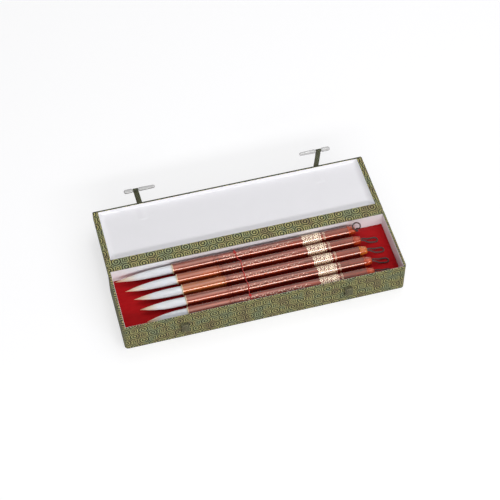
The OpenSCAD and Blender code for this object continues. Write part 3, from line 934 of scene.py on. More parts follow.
@dataclass
class Lid:
    """The lid, folded back: cloth cover, padded outer face, and a coved white paper recess."""

    x_half: float = 160.0
    y0: float = 41.9
    y1: float = 125.1
    rim: float = 38.5
    cheek: float = 6.3
    rail: float = 10.8
    lip: float = 1.6
    corner: float = 1.5
    recess: float = 5.0
    board: float = 2.5
    pad_edge: float = 3.5
    pad_crown: float = 3.0
    paper: float = 0.3
    cove: float = 7.5
    far_cove: float = 1.4
    strap_x: float = 105.0
    tail_length: float = 20.0
    tail_width: float = 6.2
    tail_rise: float = 0.5
    body: str = "lid"

    def dress(self, frame: dict) -> None:
        """Build and place the lid's pieces.

        Args:
            frame: the loaded frame.
        """
        paint(frame, ["lid_board", "lid_front_lip", "lid_left_cheek", "lid_right_cheek", "lid_rail"], BOARD)
        base = self.rim - self.recess - self.paper - self.board
        shell = Shell(
            self.x_half, self.y0, self.y1, self.corner, self.corner, self.x_half - self.cheek,
            self.y0 + self.rail, self.y1 - self.lip - self.paper, base - self.pad_edge, self.rim,
        )
        cover = shell.cover("lid_brocade")
        self.paint_lip_shade(cover)
        settle(cover, "brocade", self.body, "lid_cover")
        self.lining()
        self.padding(base)

    def paint_lip_shade(self, cover: Piece) -> None:
        """Paint shade on the narrow top of the far lip: a second, darker brocade stands in for the shade
        along that edge.

        Args:
            cover: the lid's cloth.
        """
        # Painted shade: the top faces of the far lip wear the darker brocade.
        cover.data.materials.append(LIP_SHADE_CLOTH.material())
        middles = np.empty(3 * len(cover.data.polygons))
        cover.data.polygons.foreach_get("center", middles)
        middles = middles.reshape(-1, 3) / MM
        on_lip = (middles[:, 1] > self.y1 - self.lip - 0.05) & (middles[:, 2] > self.rim - 1.6)
        cover.data.polygons.foreach_set("material_index", on_lip.astype(np.int32))

    def lining(self) -> None:
        """Build the paper: a shallow tray with coved ends, raised a little over the strap tails."""
        x_half = self.x_half - self.cheek
        y0 = self.y0 + self.rail
        y1 = self.y1 - self.lip - self.paper
        floor = self.rim - self.recess
        top = self.rim - 0.6
        cove = self.cove
        x_in = -x_half + cove * np.linspace(0, 1, 15) ** 1.6
        x = np.concatenate([x_in, np.linspace(-x_half + cove, x_half - cove, 121)[1:-1], -x_in[::-1]])
        far = y1 - self.far_cove * np.linspace(1, 0, 7) ** 1.5
        y = np.concatenate([[y0, y0 + 0.15, y0 + 0.6], np.linspace(y0 + 2, y1 - self.far_cove, 84)[:-1], far])
        xx, yy = np.meshgrid(x, y)
        end = np.clip((x_half - np.abs(xx)) / cove, 0, 1)
        z = floor + (top - floor) * (1 - end) ** 2.6
        z = np.maximum(z, floor + (top - floor) * np.clip(1 - (yy - y0) / 0.6, 0, 1) ** 2.0)
        z = np.maximum(z, floor + (top - floor) * np.clip(1 - (y1 - yy) / self.far_cove, 0, 1) ** 2.2)
        tail = (
            np.clip((self.tail_width / 2 + 0.7 - np.abs(np.abs(xx) - self.strap_x)) / 1.4, 0, 1)
            * np.clip((yy - (y1 - self.tail_length)) / 1.5, 0, 1)
        )
        z = z + np.where(y1 - yy > 0.1, self.tail_rise * tail * tail * (3 - 2 * tail), 0)
        points = coords(xx, yy, z)
        surface = Surface().grid(points, points[..., :2])
        made = surface.build("lid_paper", PAPER, sharp=60, merge=False)
        settle(made, "lining_paper", self.body, "lid_lining")

    def padding(self, base: float) -> None:
        """Build the padded outer face, which hangs below the board while the lid lies back.

        Args:
            base: height of the board's outer face.
        """
        half = (self.x_half - 0.1, (self.y1 - self.y0) / 2 - 0.1)
        points, flat = pillow(half, self.pad_edge, self.pad_crown, 0.4, (90, 40))
        points[..., 2] *= -1
        points += np.array([0.0, (self.y0 + self.y1) / 2, base])
        made = Surface().grid(points, flat, flip=True).build("lid_pad", BROCADE, sharp=60)
        settle(made, "padding", self.body, "lid_padding")


@dataclass
class HingeStrip:
    """The cloth that runs from the tray's rear rim to the lid's rail and folds between them."""

    x_half: float = 158.5
    y0: float = 36.9
    y1: float = 52.7
    hinge_y: float = 41.75
    low: float = 38.5
    high: float = 38.8
    fold_half: float = 1.2
    bend_half: float = 0.9

    def dress(self) -> None:
        """Build the strip with fine rows at the fold."""
        near, far = self.hinge_y - self.fold_half, self.hinge_y + self.fold_half
        y = np.concatenate([
            np.linspace(self.y0, near, 8), np.linspace(near, far, 25)[1:], np.linspace(far, self.y1, 12)[1:],
        ])
        x = np.linspace(-self.x_half, self.x_half, 90)
        rows = np.concatenate([y, y[::-1], y[:1]])
        height = np.concatenate([np.full(len(y), self.high), np.full(len(y), self.low), [self.high]])
        dip = 0.12 * np.exp(-(((rows - self.hinge_y) / 0.7) ** 2))
        height = np.where(height > self.low + 0.1, height - dip, height)
        xx, yy = np.meshgrid(x, rows)
        zz = np.broadcast_to(height[:, None], xx.shape)
        surface = Surface()
        surface.grid(coords(xx, yy, zz), coords(xx, yy + 60))
        one = np.ones(len(rows))
        ends = np.stack([
            coords(one, rows, height),
            coords(one, rows, one * (self.low + self.high) / 2),
        ])
        flat = np.zeros((2, len(rows), 2))
        for side in (-1, 1):
            surface.grid(ends * np.array([side * self.x_half, 1, 1]), flat)
        made = settle(surface.build("hinge_strip", BROCADE, sharp=50), "brocade", "", "hinge_cloth")
        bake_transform(made)


# Straps, pins and loops


class Side(Enum):
    """Which end of the box a clasp is at."""

    LEFT = -1
    RIGHT = 1


@dataclass
class Clasp:
    """A strap at the lid's far edge, its pin, and the loop on the tray's front that takes the pin."""

    side: Side
    rise: float
    drift: float
    strap_x: float = 105.0
    strap_w: float = 6.2
    strap_t: float = 0.6
    strap_l: float = 18.0
    fold_y: float = 125.7
    fold_z: float = 38.2
    lip_inner: float = 123.5
    neck_r: float = 1.2
    neck_half: float = 3.4
    tip_l: float = 2.4
    pin_w: float = 5.0
    pin_t: float = 3.2
    pin_inner: float = 22.8
    pin_outer: float = 13.7
    loop_shift: float = 12.4
    loop_w: float = 9.0
    loop_h: float = 11.5
    loop_gap: float = 4.22
    loop_t: float = 0.9
    loop_corner: float = 1.2
    loop_top: float = 26.0
    front_y: float = -41.6

    @property
    def name(self) -> str:
        """The side's name in the frame."""
        return self.side.name.lower()

    def lay(self, flat: Array) -> Array:
        """Turn points of the strap's own plane up about the fold and move them to their place.

        Args:
            flat: points with y along the strap from its fold and z square to it.

        Returns:
            The points in the row frame, in millimetres.
        """
        angle = math.radians(self.rise)
        y = flat[..., 1] * math.cos(angle) - flat[..., 2] * math.sin(angle)
        z = flat[..., 1] * math.sin(angle) + flat[..., 2] * math.cos(angle)
        x = flat[..., 0] + self.side.value * self.strap_x
        return coords(x, y + self.fold_y, z + self.fold_z)

    def dress(self) -> None:
        """Build the strap, the pin and the loop."""
        self.strap()
        self.pin()
        self.loop()

    def strap_path(self) -> Array:
        """The strap's middle line from under the lining, over the lip and out, then round the pin's waist."""
        reach = self.strap_l
        wrap = self.neck_r + 0.12 + self.strap_t / 2
        x0 = self.side.value * self.strap_x
        inside = np.array([
            [x0, self.lip_inner + 0.3, self.fold_z - 3.2],
            [x0, self.lip_inner + 0.3, self.fold_z - 1.2],
            [x0, self.lip_inner + 0.45, self.fold_z - 0.25],
            [x0, self.lip_inner + 0.95, self.fold_z + 0.12],
            [x0, self.lip_inner + 1.5, self.fold_z + 0.1],
        ])
        t = np.linspace(0, 1, 16)
        y = t * (reach - wrap)
        plain = coords(self.drift * t * (reach - wrap) / reach, y, 0.35 * np.sin(math.pi * t))
        turn = np.radians(np.linspace(180, -150, 20))
        round_pin = coords(self.drift, reach + wrap * np.cos(turn), wrap * np.sin(turn))
        outside = self.lay(np.concatenate([plain, round_pin]))
        return smooth_path(np.concatenate([inside, outside]), 90)

    def strap(self) -> None:
        """Build the strap, one cloth band that bends where it leaves the lid."""
        band = ribbon(self.strap_path(), self.strap_w, self.strap_t)
        made = band.build(f"{self.name}_strap_band", STRAP_CLOTH, sharp=60)
        settle(made, "brocade", "", f"{self.name}_strap", f"{self.name}_strap_tail")
        f"{self.name}_strap"
        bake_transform(made)

    def pin(self) -> None:
        """Build the pin: a flat bar with pillowed faces, a waist at the strap, and a slimmer inner end.

        The half width and half thickness follow smooth curves of the distance along the pin. The section is a
        rounded rectangle, a circle raised to a power.
        """
        s = np.concatenate([
            np.linspace(-self.pin_outer, -self.pin_outer + 2.5, 10),
            np.linspace(-self.pin_outer + 2.5, self.pin_inner - 2.5, 60)[1:-1],
            np.linspace(self.pin_inner - 2.5, self.pin_inner, 10),
        ])
        waist = np.clip((np.abs(s) - self.neck_half) / 0.9, 0, 1)
        waist = waist * waist * (3 - 2 * waist)
        slim = np.clip(s / self.pin_inner, 0, 1)
        end_gap = np.minimum(s + self.pin_outer, self.pin_inner - s)
        tip = np.sqrt(np.clip(1 - (1 - np.clip(end_gap / self.tip_l, 0, 1)) ** 2, 0, 1))
        wide = (self.pin_w / 2 - 0.6 * slim) * tip
        thick = (self.pin_t / 2 - 0.25 * slim) * np.clip(tip * 1.15, 0, 1)
        wide = self.neck_r + (wide - self.neck_r) * waist
        thick = self.neck_r + (thick - self.neck_r) * waist
        turn = np.linspace(0, 2 * math.pi, 33)
        square = 0.62 + 0.38 * (1 - waist)
        cos, sin = np.cos(turn)[None], np.sin(turn)[None]
        y = wide[:, None] * np.sign(cos) * np.abs(cos) ** square[:, None]
        z = thick[:, None] * np.sign(sin) * np.abs(sin) ** square[:, None]
        x = np.broadcast_to(-self.side.value * s[:, None], y.shape)
        local = coords(x + self.drift, y + self.strap_l, z)
        flat = coords(s[:, None], turn[None])
        made = Surface().grid(self.lay(local), flat).build(f"{self.name}_pin_bone", BONE, sharp=60)
        settle(made, "bone", f"{self.name}_pin", f"{self.name}_pin")

    def loop(self) -> None:
        """Build the loop: a stitched cloth band that stands off the front face, with two rounded corners."""
        half = (self.loop_h - self.loop_t) / 2
        deep = self.loop_gap + self.loop_t / 2
        radius = self.loop_corner + self.loop_t / 2
        middle_z = self.loop_top - self.loop_h / 2
        turn = np.radians(np.linspace(0, 90, 9))
        corner_out = deep - radius + radius * np.sin(turn)
        corner_up = half - radius + radius * np.cos(turn)
        corner = coords(corner_out, corner_up)
        straight = coords(np.linspace(0, deep - radius, 6)[:-1], np.full(5, half))
        upper = np.concatenate([straight, corner])
        side = coords(np.full(7, deep), np.linspace(half - radius, radius - half, 9)[1:-1])
        route = np.concatenate([upper, side, upper[::-1] * np.array([1.0, -1.0])])
        x0 = self.side.value * (self.strap_x - self.loop_shift)
        arch = coords(x0, self.front_y - 0.02 - route[:, 0], middle_z + route[:, 1])
        band = ribbon(arch, self.loop_w, self.loop_t * 0.8)
        made = band.build(f"{self.name}_cloth_loop", LOOP_CLOTH, sharp=60)
        settle(made, "brocade", "tray", f"{self.name}_pin_loop")


# Brushes


ROW_REAR_Y = 28.7
ROW_PITCH = 15.325
PALE_HEADS = (2, 3)
HONEY_CAP = 3
LOOP_LYING = np.array([
    [0, 1, 0], [1.5, 1.1, 0], [3.5, 1.5, -0.6], [5.5, 2, -1.9], [7.5, 2.4, -3.4], [9.5, 2.8, -4.6],
    [12, 3.1, -5.3], [15, 3.3, -5.7], [17.6, 3.3, -6], [19.4, 2.7, -6.2], [20.4, 1.2, -6.3],
    [20.4, -0.6, -6.3], [19.4, -2.1, -6.2], [17.6, -2.7, -6], [15, -2.7, -5.7], [12, -2.5, -5.3],
    [9.5, -2.3, -4.6], [7.5, -2, -3.4], [5.5, -1.7, -1.9], [3.5, -1.4, -0.6], [1.5, -1.1, 0], [0, -1, 0],
])
LOOP_STANDING = np.array([
    [0, 1.1, -1], [1, 1.1, -1], [2.6, 0.6, 0.8], [3.4, -1.6, 3.2], [3.6, -3.4, 5.5], [4.8, -2.9, 7.6],
    [4.6, -1.3, 10.1], [2.5, 0.1, 11.7], [-0.5, 0.6, 11.7], [-2.9, 0.1, 10.1], [-3.7, -1.2, 7.6],
    [-2.8, -2.6, 5.6], [-0.9, -3.7, 4.7], [1, -4.2, 4.3], [1.9, -3.8, 2], [1, -1.1, -1], [0, -1.1, -1],
])


@dataclass
class Brush:
    """One brush: hair, head, barrel, gilt band, cap and hanging loop."""

    number: int
    mouth_x: float
    hair_l: float
    head_finish: Finish
    axis_y: float
    axis_z: float = 30.4
    hair_r: float = 4.6
    head_r: float = 6.1
    head_l: float = 49.5
    barrel_r: float = 5.9
    handle_l: float = 212.5
    cap_l: float = 9.2
    band_x: float = 148.5
    band_l: float = 24.0
    cord_r: float = 0.8
    hair_bend: tuple[float, float] = (0.0, -1.6)
    core_share: float = 0.93
    layers: tuple[float, ...] = (0.99, 0.955, 0.92)
    layer_strands: int = 110
    layer_shift: float = 0.019
    strand_r: float = 0.145
    sprig_turn: float = 62.0
    stem_sway: float = 0.9
    stem_turn: float = 0.42
    leaf_l: float = 2.6
    leaf_half: float = 0.42
    leaf_lean: float = 38.0
    leaf_pitch: float = 3.1

    @property
    def origin(self) -> Array:
        """The middle of the head's mouth."""
        return np.array([self.mouth_x, self.axis_y, self.axis_z])

    @property
    def body(self) -> str:
        """The brush's body in the frame."""
        return f"brush_{self.number}"

    def turn(self, profile: Array, name: str, finish: Finish, sharp: float) -> Piece:
        """Build a turned piece of the brush.

        Args:
            profile: points of distance from the mouth and radius.
            name: the piece's name after the brush's.
            finish: its finish.
            sharp: edges that turn more than this many degrees stay crisp.

        Returns:
            The piece.
        """
        return turned(Surface(), profile, self.origin).build(f"{self.body}_{name}", finish, sharp=sharp)

    def keep(self, made: Piece, node: str, slot: str) -> None:
        """Let a piece stand for one of the brush's nodes and ride on it."""
        settle(made, slot, self.body, f"{self.body}_{node}")

    def dress(self) -> None:
        """Build the brush's pieces in order from its point to its loop."""
        self.hair()
        self.head()
        self.barrel()
        self.band()
        self.cap()
        self.cord()
        self.sprig()

    def width_at(self, s: Array) -> Array:
        """The hair bundle's width at a share of its length: full at the mouth, a belly, then the point."""
        return (1 - s**2.2) * (1 + 0.25 * s)

    def hair(self) -> None:
        """Build the hair: a tapered core under layers of fine strands that draw together at the point."""
        surface = Surface()
        self.hair_core(surface)
        self.hair_strands(surface)
        self.keep(surface.build(f"{self.body}_hair_bundle", HAIR, sharp=70, merge=False), "hair", "hair")

    def hair_core(self, surface: Surface) -> None:
        """Add the tapered core of the hair, which starts inside the head's mouth."""
        s = 1 - (1 - np.linspace(0, 1, 28)) ** 1.3
        core_r = self.core_share * self.hair_r
        core = coords(-self.hair_l * 0.985 * s, core_r * self.width_at(s))
        core = np.concatenate([[[2.0, core_r]], core])
        turn = np.linspace(0, 2 * math.pi, 49)
        points = coords(core[:, :1], core[:, 1:] * np.cos(turn), core[:, 1:] * np.sin(turn))
        share = np.concatenate([[0.0], s])
        flat = coords(turn[None] / 6.3, share[:, None])
        bend = np.array([0.0, *self.hair_bend])
        surface.grid(points + self.origin + bend * share[:, None, None] ** 2, flat)

    def hair_strands(self, surface: Surface) -> None:
        """Add the fine strands over the core of the hair.

        Each strand starts on a ring round the core and keeps its share of the bundle's width all the way, so
        no two strands cross. Its own thickness shrinks with the bundle.
        """
        rng = np.random.default_rng(40 + self.number)
        count = len(self.layers) * self.layer_strands
        angle = np.arange(count) * (2 * math.pi / self.layer_strands) + rng.uniform(-0.01, 0.01, count)
        angle = angle + np.repeat(self.layer_shift * np.arange(len(self.layers)), self.layer_strands)
        layer = np.repeat(self.layers, self.layer_strands)
        reach = self.hair_l * rng.uniform(0.93, 1.0, count)
        t = np.array([0.0, 0.12, 0.3, 0.5, 0.68, 0.82, 0.92, 1.0])
        width = self.width_at(np.minimum(t, 0.995))
        out = self.hair_r * layer[:, None] * width[None]
        thick = self.strand_r * np.maximum(width, 0.12)
        side = np.radians([0, 120, 240, 360])
        base = coords(-reach[:, None] * t, out * np.cos(angle)[:, None], out * np.sin(angle)[:, None])
        ring = coords(np.zeros(4), np.cos(side), np.sin(side))
        strands = base[:, :, None] + ring[None, None] * thick[None, :, None, None]
        strands[:, 0, :, 0] += 1.0
        tone = rng.uniform(0, 1, count)
        bend = np.array([0.0, *self.hair_bend])
        strands = strands + bend * t[None, :, None, None] ** 2
        for strand, own in zip(strands, tone):
            uv = coords(np.full(4, own)[None] * 3, t[:, None])
            surface.grid(strand + self.origin, uv)

    def head(self) -> None:
        """Build the head: a turned sleeve with a soft mouth and two fine grooves before the barrel."""
        r, end = self.head_r, self.head_l
        profile = np.array([
            [3.0, 0.0], [3.0, self.hair_r], [0.5, self.hair_r], [0.05, self.hair_r + 0.15],
            [0.0, r - 0.5], [0.12, r - 0.2], [0.4, r], [2.0, r], [end - 3.2, r], [end - 3.0, r - 0.35],
            [end - 2.7, r - 0.35], [end - 2.5, r], [end - 1.3, r], [end - 1.1, r - 0.1],
            [end - 0.9, r - 0.5], [end - 0.2, r - 0.5], [end, r - 0.5], [end, 0.0],
        ])
        made = self.turn(profile, "head_sleeve", self.head_finish, 35)
        self.mouth_ring()
        self.keep(made, "head", "lacquer_light" if self.number in PALE_HEADS else "lacquer")

    def mouth_ring(self) -> None:
        """Build the pale ring of bare wood at the head's mouth."""
        r = self.head_r
        profile = np.array([
            [-0.03, self.hair_r + 0.1], [-0.03, r - 0.45], [0.12, r - 0.12], [0.35, r + 0.03],
            [0.75, r + 0.03], [0.85, r - 0.05],
        ])
        made = self.turn(profile, "mouth_ring", PALE_WOOD, 60)
        settle(made, "bone", self.body)

    def barrel(self) -> None:
        """Build the barrel: a straight rod with soft ends and a groove beside the head."""
        r = self.barrel_r
        x0, x1 = self.head_l, self.handle_l - self.cap_l
        near = np.array([
            [x0, 0.0], [x0, r - 0.3], [x0 + 0.15, r], [x0 + 2.0, r], [x0 + 2.2, r - 0.3], [x0 + 2.6, r - 0.3],
            [x0 + 2.8, r],
        ])
        rod = coords(np.linspace(x0 + 4, x1 - 0.2, 24), np.full(24, r))
        profile = np.concatenate([near, rod, [[x1, r - 0.2], [x1, 0.0]]])
        made = self.turn(profile, "barrel_turned", LACQUER_DEEP, 35)
        self.keep(made, "barrel", "lacquer")

    def band(self) -> None:
        """Build the gilt band with scalloped ends, and two fine gilt rings beyond it.

        The band's ends move in and out with the size of a cosine of the turn, six scallops round.
        """
        turn = np.linspace(0, 2 * math.pi, 121)
        scallop = -1.2 * np.abs(np.cos(3 * turn))
        share = np.linspace(0, 1, 14)
        r = self.barrel_r + 0.12
        x = self.band_x + 0.2 - scallop[None] + share[:, None] * (self.band_l - 0.4 + 2 * scallop[None])
        lift = np.where((share < 0.01) | (share > 0.99), self.barrel_r, r)[:, None]
        points = coords(x, lift * np.cos(turn)[None], lift * np.sin(turn)[None])
        surface = Surface()
        surface.grid(points + self.origin, coords(x, np.broadcast_to(turn[None] * r, x.shape)))
        for start in (self.band_x + self.band_l + 1.6, self.band_x + self.band_l + 2.9):
            low, high = r - 0.15, r - 0.02
            ring = np.array([[start, low], [start + 0.08, high], [start + 0.52, high], [start + 0.6, low]])
            turned(surface, ring, self.origin)
        self.keep(surface.build(f"{self.body}_gilt_band", GILT, sharp=60), "band", "gilt")

    def cap(self) -> None:
        """Build the cap: a collar, a waist, a tapering amber body with beads, and a rounded end."""
        x0, x1, r = self.handle_l - self.cap_l, self.handle_l, self.head_r
        profile = np.array([
            [x0, 0.0], [x0, r - 0.25], [x0 + 0.15, r], [x0 + 0.9, r], [x0 + 1.05, r - 0.3],
            [x0 + 1.15, r - 1.0], [x0 + 1.6, r - 1.1], [x0 + 1.8, r - 0.6], [x0 + 2.3, r - 0.45],
            [x0 + 2.7, r - 0.7], [x0 + 0.5 * self.cap_l, r - 1.0], [x1 - 2.6, r - 1.5], [x1 - 2.3, r - 1.85],
            [x1 - 1.9, r - 1.85], [x1 - 1.6, r - 1.5], [x1 - 0.9, r - 1.75], [x1 - 0.3, r - 2.4],
            [x1, r - 3.2], [x1, 0.0],
        ])
        finish = HONEY if self.number == HONEY_CAP else AMBER
        made = self.turn(profile, "cap_turned", finish, 35)
        self.keep(made, "cap", "cap")

    def cord(self) -> None:
        """Build the hanging loop, a limp cord that leaves the cap and goes back into it."""
        route = LOOP_STANDING if self.number == 1 else LOOP_LYING
        start = self.origin + np.array([self.handle_l, 0.0, 0.0])
        path = smooth_path(route + start, 40)
        made = tube(Surface(), path, self.cord_r).build(f"{self.body}_hanging_loop", CORD, sharp=60)
        self.keep(made, "cord", "cord")

    def sprig(self) -> None:
        """Build a fine silvery sprig inlaid on the barrel: a waving stem with leaves in pairs.

        The stem's angle round the barrel is a sine of the distance along it. Each leaf is a pointed oval that
        leans away from the stem, and all of it lies a hair above the lacquer.
        """
        x0, x1 = self.head_l + 7.0, self.band_x - 10.0
        r = self.barrel_r + 0.02
        middle = math.radians(self.sprig_turn)
        surface = Surface()
        x = np.linspace(x0, x1, 160)

        def on_barrel(along: Array, sideways: Array) -> Array:
            """Points on the barrel from a distance along it and a distance round it."""
            turn = middle + sideways / r
            return coords(along, -r * np.cos(turn), r * np.sin(turn)) + self.origin

        wave = self.stem_sway * np.sin((x - x0) * self.stem_turn)
        breadth = np.linspace(-0.09, 0.09, 3)[:, None]
        surface.grid(on_barrel(np.broadcast_to(x, (3, 160)), wave[None] + breadth), np.zeros((3, 160, 2)))
        s = np.linspace(0, 1, 9)
        oval = self.leaf_half * np.sin(math.pi * s) ** 0.8 * (1 - 0.35 * s)
        spread = np.linspace(-1, 1, 5)[:, None]
        for index, start in enumerate(np.arange(x0 + 1.5, x1 - 3, self.leaf_pitch)):
            lean = (-1) ** index * math.radians(self.leaf_lean)
            stem = self.stem_sway * math.sin((start - x0) * self.stem_turn)
            along = start + self.leaf_l * s * math.cos(lean) - spread * oval * math.sin(lean)
            sideways = stem + self.leaf_l * s * math.sin(lean) + spread * oval * math.cos(lean)
            surface.grid(on_barrel(along, sideways), np.zeros((5, 9, 2)))
        settle(surface.build(f"{self.body}_sprig", SILVER, sharp=60, merge=False), "lacquer", self.body)


@dataclass
class TieThread:
    """The red thread, made in one length per brush."""

    brush_y: list[float]
    x: float = -15.5
    drift: tuple[float, ...] = (-2.5, 0.6, 0.0, 0.4, -1.0)
    barrel_r: float = 5.9
    radius: float = 0.4
    axis_z: float = 30.4
    sag: float = 2.6
    end_z: float = 22.2

    def over(self, index: int, turn: float) -> Array:
        """A point of the route round one barrel, at an angle from its rear side over its top."""
        off = self.barrel_r + self.radius + 0.35
        angle = math.radians(turn)
        return np.array([
            self.x + self.drift[index] - 0.2 * math.cos(angle),
            self.brush_y[index] + off * math.cos(angle),
            self.axis_z + off * math.sin(angle),
        ])

    def between(self, index: int) -> Array:
        """The low point of the route between one barrel and the next."""
        a, b = self.over(index, 90), self.over(index + 1, 90)
        return np.array([(a[0] + b[0]) / 2, (a[1] + b[1]) / 2, a[2] - self.sag])

    def ends(self) -> tuple[Array, Array]:
        """The two lengths that go down to the cushion, behind the first barrel and before the last."""
        side = self.barrel_r + self.radius + 0.12
        off = self.barrel_r + self.radius + 0.35
        rear = self.over(0, 90) + np.array([-1.0, side, -off])
        front = self.over(4, 90) + np.array([-0.6, -side, -off])
        rear_end = np.array([rear[0] - 0.4, rear[1], self.end_z])
        front_end = np.array([front[0] - 0.4, front[1], self.end_z])
        return np.stack([rear_end, rear]), np.stack([front, front_end])

    def dress(self) -> None:
        """Build the whole route as one smooth curve and cut it at the low points into one length per brush.
        """
        rear, front = self.ends()
        last = len(self.brush_y) - 1
        rows = [rear, self.over(0, 28)[None]]
        for index in range(last + 1):
            if index > 0:
                rows.append(self.between(index - 1)[None])
            rows.append(np.stack([self.over(index, turn) for turn in (58, 90, 122)]))
        rows.extend([self.over(last, 152)[None], front])
        path = smooth_path(np.concatenate(rows), 320)
        cuts = [np.inf] + [self.between(index)[1] for index in range(last)] + [-np.inf]
        for index, y in enumerate(self.brush_y):
            inside = np.flatnonzero((path[:, 1] <= cuts[index]) & (path[:, 1] >= cuts[index + 1]))
            low, high = max(inside[0] - 1, 0), min(inside[-1] + 2, len(path))
            surface = tube(Surface(), path[low:high], self.radius, sides=10)
            if index in (0, last):
                self.knot(surface, path[low:high])
            made = surface.build(f"tie_thread_{index + 1}", THREAD, sharp=60)
            settle(made, "thread", "", "tie_thread")
            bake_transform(made)

    def knot(self, surface: Surface, path: Array) -> None:
        """Add a small knot where the thread leaves the barrel's top: a figure of two crossing turns.

        Args:
            surface: the surface to add to.
            path: the length of thread that carries it.
        """
        top = path[np.argmax(path[:, 2])]
        turn = np.linspace(0, 2 * math.pi, 40)
        wind = coords(1.1 * np.sin(turn), 0.9 * np.sin(2 * turn), 0.35 * np.cos(3 * turn))
        tube(surface, top + np.array([0, 0, 0.3]) + wind, self.radius * 0.9, sides=8)


# Camera, light and floor


@dataclass(frozen=True)
class Lamp:
    """A soft rectangular lamp that faces the box: its place and size in metres and its power in watts."""

    name: str
    place: Colour
    size: tuple[float, float]
    power: float
    lights: bool = True

    def hang(self) -> None:
        """Hang the lamp; one that doesn't light matt surfaces shows only in gloss."""
        data = bpy.data.lights.new(self.name, "AREA")
        data.shape = "RECTANGLE"
        data.size, data.size_y = self.size
        data.energy = self.power
        made = bpy.data.objects.new(self.name, data)
        made.visible_diffuse = self.lights
        made.location = self.place
        made.rotation_euler = (Vector(self.place) - Vector(LAMP_AIM)).to_track_quat("Z", "Y").to_euler()
        bpy.context.scene.collection.objects.link(made)


LAMP_AIM = (0.0, 0.03, 0.03)
LAMPS = (
    Lamp("overhead", (0.6, 0.35, 1.6), (2.0, 1.6), 9.0),
    Lamp("overhead_strip", (0.15, 0.0, 1.6), (2.0, 0.3), 4.2),
    Lamp("front_strip", (0.1, -1.5, 0.8), (2.2, 0.2), 18.0),
    Lamp("front_gloss", (0.1, -1.5, 0.7), (2.4, 0.36), 26.0, lights=False),
    Lamp("front_fill", (0.9, -1.2, 1.1), (1.4, 1.0), 2.5),
)


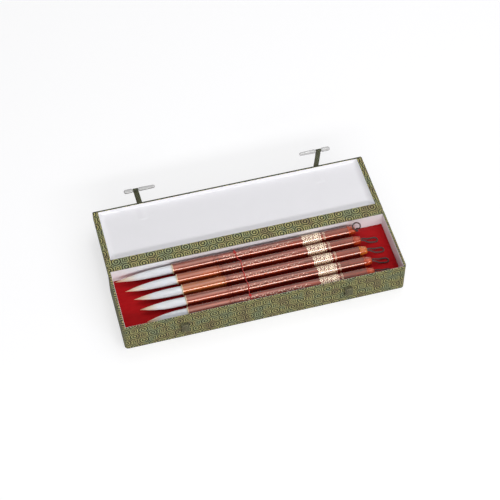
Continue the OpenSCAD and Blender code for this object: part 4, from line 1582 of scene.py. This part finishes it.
@dataclass
class Studio:
    """A white table under soft light, seen by the camera that fits the photograph's edges."""

    target: tuple[float, float, float] = (0.0, -1.6, 15.0)
    azimuth: float = -15.2
    elevation: float = 53.8
    distance: float = 1648.8
    focal_px: float = 1479.3
    image_px: float = 500.0
    shift_px: tuple[float, float] = (7.5, 31.6)
    sensor_mm: float = 36.0
    fill: float = 0.28
    table_glow: float = 0.62
    table_half: float = 3.0

    def camera(self) -> None:
        """Place the camera on the calibrated line of sight."""
        azimuth, elevation = math.radians(self.azimuth), math.radians(self.elevation)
        level = math.cos(elevation)
        back = Vector((math.sin(azimuth) * level, -math.cos(azimuth) * level, math.sin(elevation)))
        data = bpy.data.cameras.new("camera")
        data.sensor_width = self.sensor_mm
        data.lens = self.sensor_mm * self.focal_px / self.image_px
        data.shift_x = -self.shift_px[0] / self.image_px
        data.shift_y = self.shift_px[1] / self.image_px
        data.clip_start = 0.05
        data.clip_end = 20.0
        made = bpy.data.objects.new("camera", data)
        made.location = Vector(self.target) * MM + back * self.distance * MM
        made.rotation_euler = back.to_track_quat("Z", "Y").to_euler()
        bpy.context.scene.collection.objects.link(made)
        bpy.context.scene.camera = made

    def world(self) -> None:
        """Fill from all sides, with pure white where the camera, gloss or glass looks past the floor."""
        world = bpy.data.worlds.new("studio")
        world.use_nodes = True
        bpy.context.scene.world = world
        tree = world.node_tree
        background = tree.nodes["Background"]
        path = tree.nodes.new("ShaderNodeLightPath")
        seen = path.outputs["Is Camera Ray"]
        for kind in ("Is Glossy Ray", "Is Transmission Ray"):
            either = tree.nodes.new("ShaderNodeMath")
            either.operation = "MAXIMUM"
            tree.links.new(seen, either.inputs[0])
            tree.links.new(path.outputs[kind], either.inputs[1])
            seen = either.outputs[0]
        level = tree.nodes.new("ShaderNodeMapRange")
        level.inputs["To Min"].default_value = self.fill
        level.inputs["To Max"].default_value = 1.0
        tree.links.new(seen, level.inputs["Value"])
        tree.links.new(level.outputs[0], background.inputs["Strength"])
        background.inputs["Color"].default_value = (1.0, 1.0, 1.0, 1.0)

    def floor(self) -> None:
        """Lay a white table that shows to the camera as white where nothing shades it."""
        half = self.table_half
        mesh = bpy.data.meshes.new("table")
        corners = [(-half, -half, 0), (half, -half, 0), (half, half, 0), (-half, half, 0)]
        mesh.from_pydata(corners, [], [(0, 1, 2, 3)])
        shader = Shader("white_table")
        shader.values(Base_Color=srgb(180, 180, 182), Roughness=0.9, Specular_IOR_Level=0.0)
        shader.values(Emission_Color=(1.0, 1.0, 1.0, 1.0))
        path = shader.node("ShaderNodeLightPath")
        seen = shader.math("MULTIPLY", path.outputs["Is Camera Ray"], self.table_glow)
        shader.feed(shader.bsdf.inputs["Emission Strength"], seen)
        mesh.materials.append(shader.material)
        made = bpy.data.objects.new("table", mesh)
        bpy.context.scene.collection.objects.link(made)

    def dress(self) -> None:
        """Set camera, lamps, world and floor."""
        bpy.context.scene.view_settings.view_transform = "Standard"
        self.camera()
        self.world()
        for lamp in LAMPS:
            lamp.hang()
        self.floor()


# Each brush's mouth along x, hair length, bend of its point to the side and down, and head
BRUSH_ROW = (
    (-90.0, 64.5, (0.0, -1.6), LACQUER_RED),
    (-88.5, 58.0, (0.0, -1.7), LACQUER_ORANGE),
    (-86.0, 53.5, (1.4, -0.4), LACQUER_TAN),
    (-85.5, 51.0, (1.8, -0.4), LACQUER_RED),
    (-87.0, 45.5, (0.0, -1.2), LACQUER_RED),
)


def main() -> None:
    """Build the whole scene in order and log each step."""
    logging.basicConfig(level=logging.INFO, format="%(message)s")
    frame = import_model()
    Studio().dress()
    rows = [ROW_REAR_Y - ROW_PITCH * index for index in range(len(BRUSH_ROW))]
    for index, (mouth_x, hair_l, bend, finish) in enumerate(BRUSH_ROW):
        Brush(index + 1, mouth_x, hair_l, finish, rows[index], hair_bend=bend).dress()
        LOG.info("brush %d dressed", index + 1)
    TieThread(rows).dress()
    LOG.info("thread tied")
    Tray().dress(frame)
    LOG.info("tray dressed")
    Lid().dress(frame)
    LOG.info("lid dressed")
    HingeStrip().dress()
    Clasp(Side.LEFT, 3.0, -0.5).dress()
    Clasp(Side.RIGHT, 65.0, 4.5).dress()
    LOG.info("hinge strip and clasps dressed")
    bpy.context.view_layer.update()


if __name__ == "__main__":
    main()
